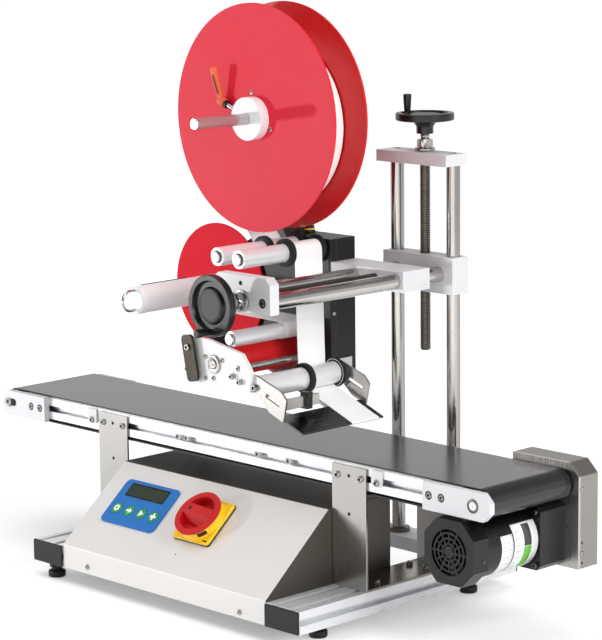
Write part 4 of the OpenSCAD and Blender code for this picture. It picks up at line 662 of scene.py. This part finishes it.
boss_cap("lift_boss_cap", (COLUMN_X, POST_Y, 608.5), UP, "lift_wheel")
boss_cap("cross_boss_cap", (COLUMN_X, -57.5, ARM_Z), FRONT, "cross_wheel")
for i, a in enumerate((35, 155, 275)):
    x, z = COLUMN_X + 25.6 * math.cos(math.radians(a)), ARM_Z + 25.6 * math.sin(math.radians(a))
    painted_hole_shade("cross_wheel_hole_%d" % i, (x, -54.45, z), FRONT, 3, "cross_wheel", "black_plastic")

# Arm: cross screw, nuts, block screws
cross_rod = thread("cross_thread", (COLUMN_X, 9.5, ARM_Z), AY, 295, 7.0, 5.9, 3.0, "screw", "cross_wheel",
                   "screw_steel")
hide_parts("cross_screw")
spun("cross_journal", (COLUMN_X, -57, ARM_Z), AY, [(5, 0), (5, 66.5), (5.8, 67)], "bolt", "cross_wheel",
     "screw_steel", 36)
spun("cross_journal_end", (COLUMN_X, 303, ARM_Z), AY, [(5.8, 0), (5, 2), (5, 6.4), (4.4, 7), (0, 7)], "bolt",
     "cross_wheel", "screw_steel", 36)
spun("cross_nut", (COLUMN_X, -6.5, ARM_Z), FRONT,
     [(5, 0), (12.8, 0), (13.4, 0.6), (13.4, 2.6), (12.8, 3.2), (11.2, 3.3), (12.9, 4.4, "6"),
      (12.9, 12, "6"), (11, 13.4), (8.8, 13.8), (8.8, 18.2), (8, 19), (5, 19)], "bolt", "cross_wheel",
     "screw_steel", 48)
painted_hole_shade("front_block_hole", (-30.1, -6, 426.7), FRONT, 5.2, "lift", "plate_aluminium")
for i, x in enumerate((-65, 8)):
    # Near-black ring around each screw: painted shade in the counterbore.
    spun("shaft_screw_seat_%d" % i, (x, -6, ARM_Z + 0.5), FRONT,
         [(3.4, 0.02), (5.6, 0.02), (5.9, 0.1), (6.1, 0)], "hole", "lift", "plate_aluminium", 32)
    cap_screw("shaft_screw_%d" % i, (x, -6, ARM_Z + 0.5), FRONT, 8, 0.8, "lift", "screw", "screw_steel")
    cap_screw("shaft_screw_back_%d" % i, (x, 335, ARM_Z), BACK, 9, 3.5, "lift", "screw", "screw_steel")

# Head: bearing flange, side plate screws, housing screws and plug, label sensor, web collars
spun("feed_bearing", (FEED_X, SIDE_Y, FEED_Z), FRONT,
     [(6.3, 0), (12.2, 0), (12.2, 2.2), (11.6, 2.8), (9.2, 2.8), (8.8, 2.2), (7, 2.2), (6.3, 1.8)], "bolt",
     "head", "ground_steel", 48)
spun("feed_shaft_end", (FEED_X, SIDE_Y - 2, FEED_Z), FRONT,
     [(6, 0), (6, 0.5), (5.2, 1.2), (1.4, 1.2), (0.6, 0.5), (0, 0.5)], "bolt", "feed", "ground_steel", 40)
for i, (x, z) in enumerate(((-185, 305), (-153, 304), (-170, 278.5))):
    pan_screw("bearing_screw_%d" % i, (x, SIDE_Y, z), FRONT, 6.4, 2.4, "head", shape="6")
for i, (x, z) in enumerate(((-132.8, 286), (-118.7, 280.6))):
    cap_screw("side_screw_%d" % i, (x, SIDE_Y, z), FRONT, 7.6, 6, "head")
cap_screw("lower_axle_screw", (LOWER_X, 80, LOWER_Z), FRONT, 8.4, 5, "lower")
cap_screw("lever_screw", (-209.6, 65, 315.3), FRONT, 9, 3, "pressure")
pan_screw("side_screw_low", (-184.5, SIDE_Y, 276.8), FRONT, 5.6, 2, "head", shape="6")
for i, (x, z) in enumerate(((-124, 297), (-222, 284))):
    pan_screw("tie_screw_%d" % i, (x, SIDE_Y, z), FRONT, 7, 1.6, "head", shape="6")
for i, z in enumerate((285, 350)):
    pan_screw("plate_screw_%d" % i, (-107, 230, z), RIGHT, 6, 1.8, "head")
for i, (x, z) in enumerate(((-115, 440), (-226, 440), (-115, 276), (-226, 276), (-342, 364))):
    pan_screw("housing_screw_%d" % i, (x, HOUSING_BACK, z), BACK, 6, 1.8, "head", "screw", "screw_steel")
spun("housing_plug", (-177, 254, 448), UP,
     [(0, 0), (9.5, 0), (9.5, 2), (8.4, 2.4), (8.4, 3.4), (7.6, 4), (7.6, 9), (6.8, 10), (0, 10.4)], "black",
     "head", "black_plastic", 40)
spun("plug_ring", (-177, 254, 452), UP, [(7.6, 0), (8.1, 0.2), (8.1, 2), (7.6, 2.2)], "yellow", "head",
     "switch_yellow", 40)
slab("sensor_body", [(-6, -9), (6, -9), (6, 5), (2.2, 5), (2.2, -4), (-2.2, -4), (-2.2, 5), (-6, 5)],
     (-49, 127, 258), AX, AZ, 10, "black", "head", "black_plastic", edge=0.6)
slab("sensor_clamp", rounded(15, 8, 1), (-49, 126, 266.6), AX, AZ, 8, "black", "head",
     "black_plastic", edge=0.5)
for name, x, z, r, inner in (("guide_left", GUIDE_LEFT_X, GUIDE_Z, 18.2, 12.05),
                             ("guide_right", GUIDE_RIGHT_X, GUIDE_Z, 18.2, 12.05),
                             ("lower", LOWER_X, LOWER_Z, 19.6, 14.55)):
    for i, (y, w) in enumerate(((161.4, 8.5), (219.1, 5.2))):
        spun("%s_collar_%d" % (name, i), (x, y, z), AY,
             [(inner, 0), (r - 3.4, 0), (r - 0.9, 0.5), (r, 1.3), (r, w - 1.3), (r - 0.9, w - 0.5),
              (r - 3.4, w), (inner, w)], "rubber", name, "black_rubber", 56)
for name, x, z, r in (("guide_left", GUIDE_LEFT_X, GUIDE_Z, 8.6),
                      ("guide_right", GUIDE_RIGHT_X, GUIDE_Z, 8.6), ("idler", IDLER_X, IDLER_Z, 7.4)):
    spun("%s_seal" % name, (x, AXLE_Y, z), FRONT,
         [(r - 3.2, 0), (r - 3.0, 0.35), (r - 0.3, 0.4), (r, 0.1), (r, 0)], "grey", name,
         "black_rubber", 40)
    pan_screw("%s_axle_screw" % name, (x, AXLE_Y, z), FRONT, 10.4, 2.6, "head", shape="6")

# Reel: flange screws, clamping lever
for i, a in enumerate((97.5, -22.5, -142.5)):
    x, z = REEL_X + 33 * math.cos(math.radians(a)), REEL_Z + 33 * math.sin(math.radians(a))
    pan_screw("flange_screw_%d" % i, (x, FLANGE_Y, z), FRONT, 6, 1.1, "reel_front", shape="6")
OUT = Vector((math.cos(STUD_ANGLE), 0, math.sin(STUD_ANGLE)))
STUD = Vector((REEL_X, FLANGE_Y - 7, REEL_Z))


def on_stud(d):
    return tuple(STUD + OUT * d)


spun("clamp_stud", on_stud(16), OUT, [(0, 0), (2.6, 0), (2.95, 0.6), (2.95, 33), (0, 33)], "bolt", "clamp",
     "ground_steel", 28)
spun("clamp_sleeve", on_stud(44), OUT, [(2.9, 0), (4.6, 0), (5.2, 0.8), (5.2, 5.2), (4.8, 6)], "black",
     "clamp", "black_plastic", 36)
hub = spun("clamp_hub", on_stud(49), OUT,
           [(3, 0), (5.6, 0), (6.4, 1.2), (6.4, 10.5), (5.6, 12.4), (3.4, 13), (0, 13)], "orange", "clamp",
           "orange_plastic", 40)
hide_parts("clamp_lever")
root = STUD + OUT * 56
arm_angle = STUD_ANGLE - math.pi / 2 + LEVER_LEAN
turned_out = Matrix.Rotation(-LEVER_TURN, 3, OUT)
along = turned_out @ Vector((math.cos(arm_angle), 0, math.sin(arm_angle)))
across = turned_out @ Vector((-math.sin(arm_angle), 0, math.cos(arm_angle)))
broad = turned_out @ Vector((0, 1, 0))


def lever_arm(name, stations, mat):
    """A lofted arm: stations of (distance along, half height, half width)."""
    verts, faces = [], []
    m = 16
    for d, h, w in stations:
        for i in range(m):
            t = 2 * math.pi * i / m
            c, s = math.cos(t), math.sin(t)
            c = math.copysign(abs(c) ** 0.45, c)
            s = math.copysign(abs(s) ** 0.45, s)
            verts.append(root + along * d + across * (h * c) + broad * (w * s))
    for j in range(len(stations) - 1):
        for i in range(m):
            a, b = j * m + i, j * m + (i + 1) % m
            faces.append((a, b, b + m, a + m))
    return piece(name, verts, faces, mat, "clamp", "orange_plastic", sharp=50)


lever_arm("clamp_arm", [(-2, 0, 0), (-2, 4.6, 4.2), (6, 4.5, 4.2), (14, 4.1, 4.0), (30, 4.2, 4.2),
                        (40, 4.5, 4.4), (44.5, 4.2, 4.2), (46.6, 3.0, 3.2), (47.2, 0, 0)], "orange")
# The recess is a thin dark red sheet: painted shade of the slot in the lever.
slab("clamp_recess", rounded(26, 3.6, 1.4), root + along * 25 - across * 1.4 - broad * 4.3, along, across,
     0.12, "window", "clamp", "orange_plastic")

# Rewinder: the wire along the mandrel and its white end ring
wire_at = (REWIND_X + WIRE_R * math.cos(WIRE_ANGLE), 84, REWIND_Z + WIRE_R * math.sin(WIRE_ANGLE))
spun("mandrel_wire", wire_at, AY, [(0, 0), (0.8, 0), (1.1, 0.4), (1.1, 80), (0, 80)], "dark_steel",
     "rewinder", "dark_steel", 16)
spun("mandrel_ring", (REWIND_X, 68, REWIND_Z), AY,
     [(16.4, 0.1), (16.4, -0.2), (18.2, -0.2), (18.8, 0.4), (18.8, 15), (18.45, 15.4)], "white", "rewinder",
     "white_plastic", 56)

# Floor, light and camera
FLOOR_HALF, FLOOR_DROP = 30, 0.0005
CARD_ANGLE, CARD_LEVEL = math.radians(-56), 1.3
SKY_TURN = math.radians(44)
floor_mesh = bpy.data.meshes.new("floor")
corners = [(-FLOOR_HALF, -FLOOR_HALF, 0), (FLOOR_HALF, -FLOOR_HALF, 0), (FLOOR_HALF, FLOOR_HALF, 0),
           (-FLOOR_HALF, FLOOR_HALF, 0)]
floor_mesh.from_pydata(corners, [], [(0, 1, 2, 3)])
floor = bpy.data.objects.new("floor", floor_mesh)
floor.location.z = -FLOOR_DROP
bpy.context.scene.collection.objects.link(floor)
fm = bpy.data.materials.new("floor_white")
fm.use_nodes = True
nt = fm.node_tree
fb = nt.nodes["Principled BSDF"]
fb.inputs["Base Color"].default_value = (0.93, 0.93, 0.93, 1)
fb.inputs["Roughness"].default_value = 0.9
fb.inputs["Specular IOR Level"].default_value = 0.0
path = nt.nodes.new("ShaderNodeLightPath")
seen = path.outputs["Is Camera Ray"]
for other in ("Is Glossy Ray", "Is Transmission Ray"):
    seen = combined(nt, "MAXIMUM", seen, path.outputs[other])
spot = nt.nodes.new("ShaderNodeTexCoord")
away = combined(nt, "LENGTH", spot.outputs["Object"], kind="ShaderNodeVectorMath")
fade = ranged(nt, away, From_Min=0.7, From_Max=2.4, To_Min=0.14, To_Max=0.5)
extra = combined(nt, "MULTIPLY", path.outputs["Is Camera Ray"], 0.14)
glow = combined(nt, "MULTIPLY_ADD", fade, seen, extra)
# A bright card of floor in front of the machine, which only mirrors show
heading = combined(nt, "NORMALIZE", spot.outputs["Object"], kind="ShaderNodeVectorMath", out="Vector")
card_way = (math.cos(CARD_ANGLE), math.sin(CARD_ANGLE), 0)
toward = combined(nt, "DOT_PRODUCT", heading, card_way, kind="ShaderNodeVectorMath")
far = ranged(nt, away, From_Min=1.3, From_Max=1.8, To_Max=CARD_LEVEL)
card = combined(nt, "MULTIPLY", ranged(nt, toward, From_Min=0.8, From_Max=0.93), far)
glow = combined(nt, "MULTIPLY_ADD", card, path.outputs["Is Glossy Ray"], glow)
fb.inputs["Emission Color"].default_value = (1, 1, 1, 1)
nt.links.new(glow, fb.inputs["Emission Strength"])
floor_mesh.materials.append(fm)

world = bpy.data.worlds.new("studio")
bpy.context.scene.world = world
world.use_nodes = True
nt = world.node_tree
nt.nodes.clear()
where = nt.nodes.new("ShaderNodeTexCoord")
turn = new_node(nt, "ShaderNodeMapping", Rotation=(0, 0, SKY_TURN))
split = nt.nodes.new("ShaderNodeSeparateXYZ")
nt.links.new(where.outputs["Generated"], turn.inputs["Vector"])
nt.links.new(turn.outputs["Vector"], split.inputs["Vector"])


def band(value, lo, stops):
    """A grey ramp over one direction of the sky."""
    ramp = nt.nodes.new("ShaderNodeValToRGB")
    spots = ramp.color_ramp.elements
    while len(spots) < len(stops):
        spots.new(0.5)
    for spot, (at, level) in zip(spots, stops):
        spot.position = at
        spot.color = (level, level * 0.99, level * 0.99, 1)
    nt.links.new(ranged(nt, value, From_Min=lo, From_Max=1.0), ramp.inputs["Fac"])
    return ramp.outputs["Color"]


around = band(split.outputs["X"], -1.0, [(0.0, 1.0), (0.44, 0.95), (0.56, 0.55), (0.7, 0.16), (1.0, 0.08)])
over = band(split.outputs["Z"], 0.0, [(0.0, 1.0), (0.3, 1.0), (0.5, 0.3), (1.0, 0.25)])
both = nt.nodes.new("ShaderNodeMix")
both.data_type = "RGBA"
both.blend_type = "MULTIPLY"
both.inputs["Factor"].default_value = 1.0
nt.links.new(around, both.inputs["A"])
nt.links.new(over, both.inputs["B"])
mirror_sky = new_node(nt, "ShaderNodeBackground", Strength=1.0)
nt.links.new(both.outputs["Result"], mirror_sky.inputs["Color"])
even_sky = new_node(nt, "ShaderNodeBackground", Color=(1, 1, 1, 1), Strength=0.42)
white_sky = new_node(nt, "ShaderNodeBackground", Color=(1, 1, 1, 1), Strength=1.0)
ray = nt.nodes.new("ShaderNodeLightPath")
sky = even_sky.outputs["Background"]
for kind, other in (("Is Glossy Ray", mirror_sky), ("Is Transmission Ray", mirror_sky),
                    ("Is Camera Ray", white_sky)):
    pick = nt.nodes.new("ShaderNodeMixShader")
    nt.links.new(ray.outputs[kind], pick.inputs["Fac"])
    nt.links.new(sky, pick.inputs[1])
    nt.links.new(other.outputs["Background"], pick.inputs[2])
    sky = pick.outputs["Shader"]
end = nt.nodes.new("ShaderNodeOutputWorld")
nt.links.new(sky, end.inputs["Surface"])


def lamp(name, place, target, size, power, color=(1, 1, 1)):
    data = bpy.data.lights.new(name, "AREA")
    data.shape = "RECTANGLE"
    data.size, data.size_y = size
    data.energy = power
    data.color = color
    ob = bpy.data.objects.new(name, data)
    bpy.context.scene.collection.objects.link(ob)
    ob.location = place
    ob.rotation_euler = (Vector(target) - Vector(place)).to_track_quat("-Z", "Y").to_euler()
    return ob


lamp("key", (-1.95, -2.0, 0.32), (0.0, 0.0, 0.5), (0.12, 0.12), 18.5)
lamp("top", (-0.4, -0.3, 2.9), (0.0, 0.0, 0.3), (2.4, 2.4), 30)
lamp("left_wall", (-2.4, -1.2, 1.5), (0.0, 0.0, 0.4), (1.6, 1.4), 4)
lamp("right_wall", (2.7, -0.1, 1.5), (0.0, 0.0, 0.4), (1.4, 1.4), 54)
lamp("front_fill", (1.0, -2.9, 1.3), (0.0, 0.0, 0.35), (1.4, 1.2), 7)

# Camera as fitted to the photograph
LENS = 153.86
EYE = (2235.7, -2098.8, 919.0)
EYE_RIGHT = (0.6970, 0.7170, -0.0110)
EYE_UP = (-0.1158, 0.1277, 0.9850)
EYE_AHEAD = (-0.7077, 0.6853, -0.1721)
camera = bpy.data.cameras.new("camera")
camera.sensor_fit = "HORIZONTAL"
camera.sensor_width = 36.0
camera.lens = LENS
camera.clip_end = 100
eye = bpy.data.objects.new("camera", camera)
bpy.context.scene.collection.objects.link(eye)
turned = Matrix((EYE_RIGHT, EYE_UP, [-c for c in EYE_AHEAD])).transposed()
eye.matrix_world = Matrix.Translation(row(EYE)) @ turned.to_4x4()
bpy.context.scene.camera = eye
bpy.context.scene.view_settings.view_transform = "Standard"
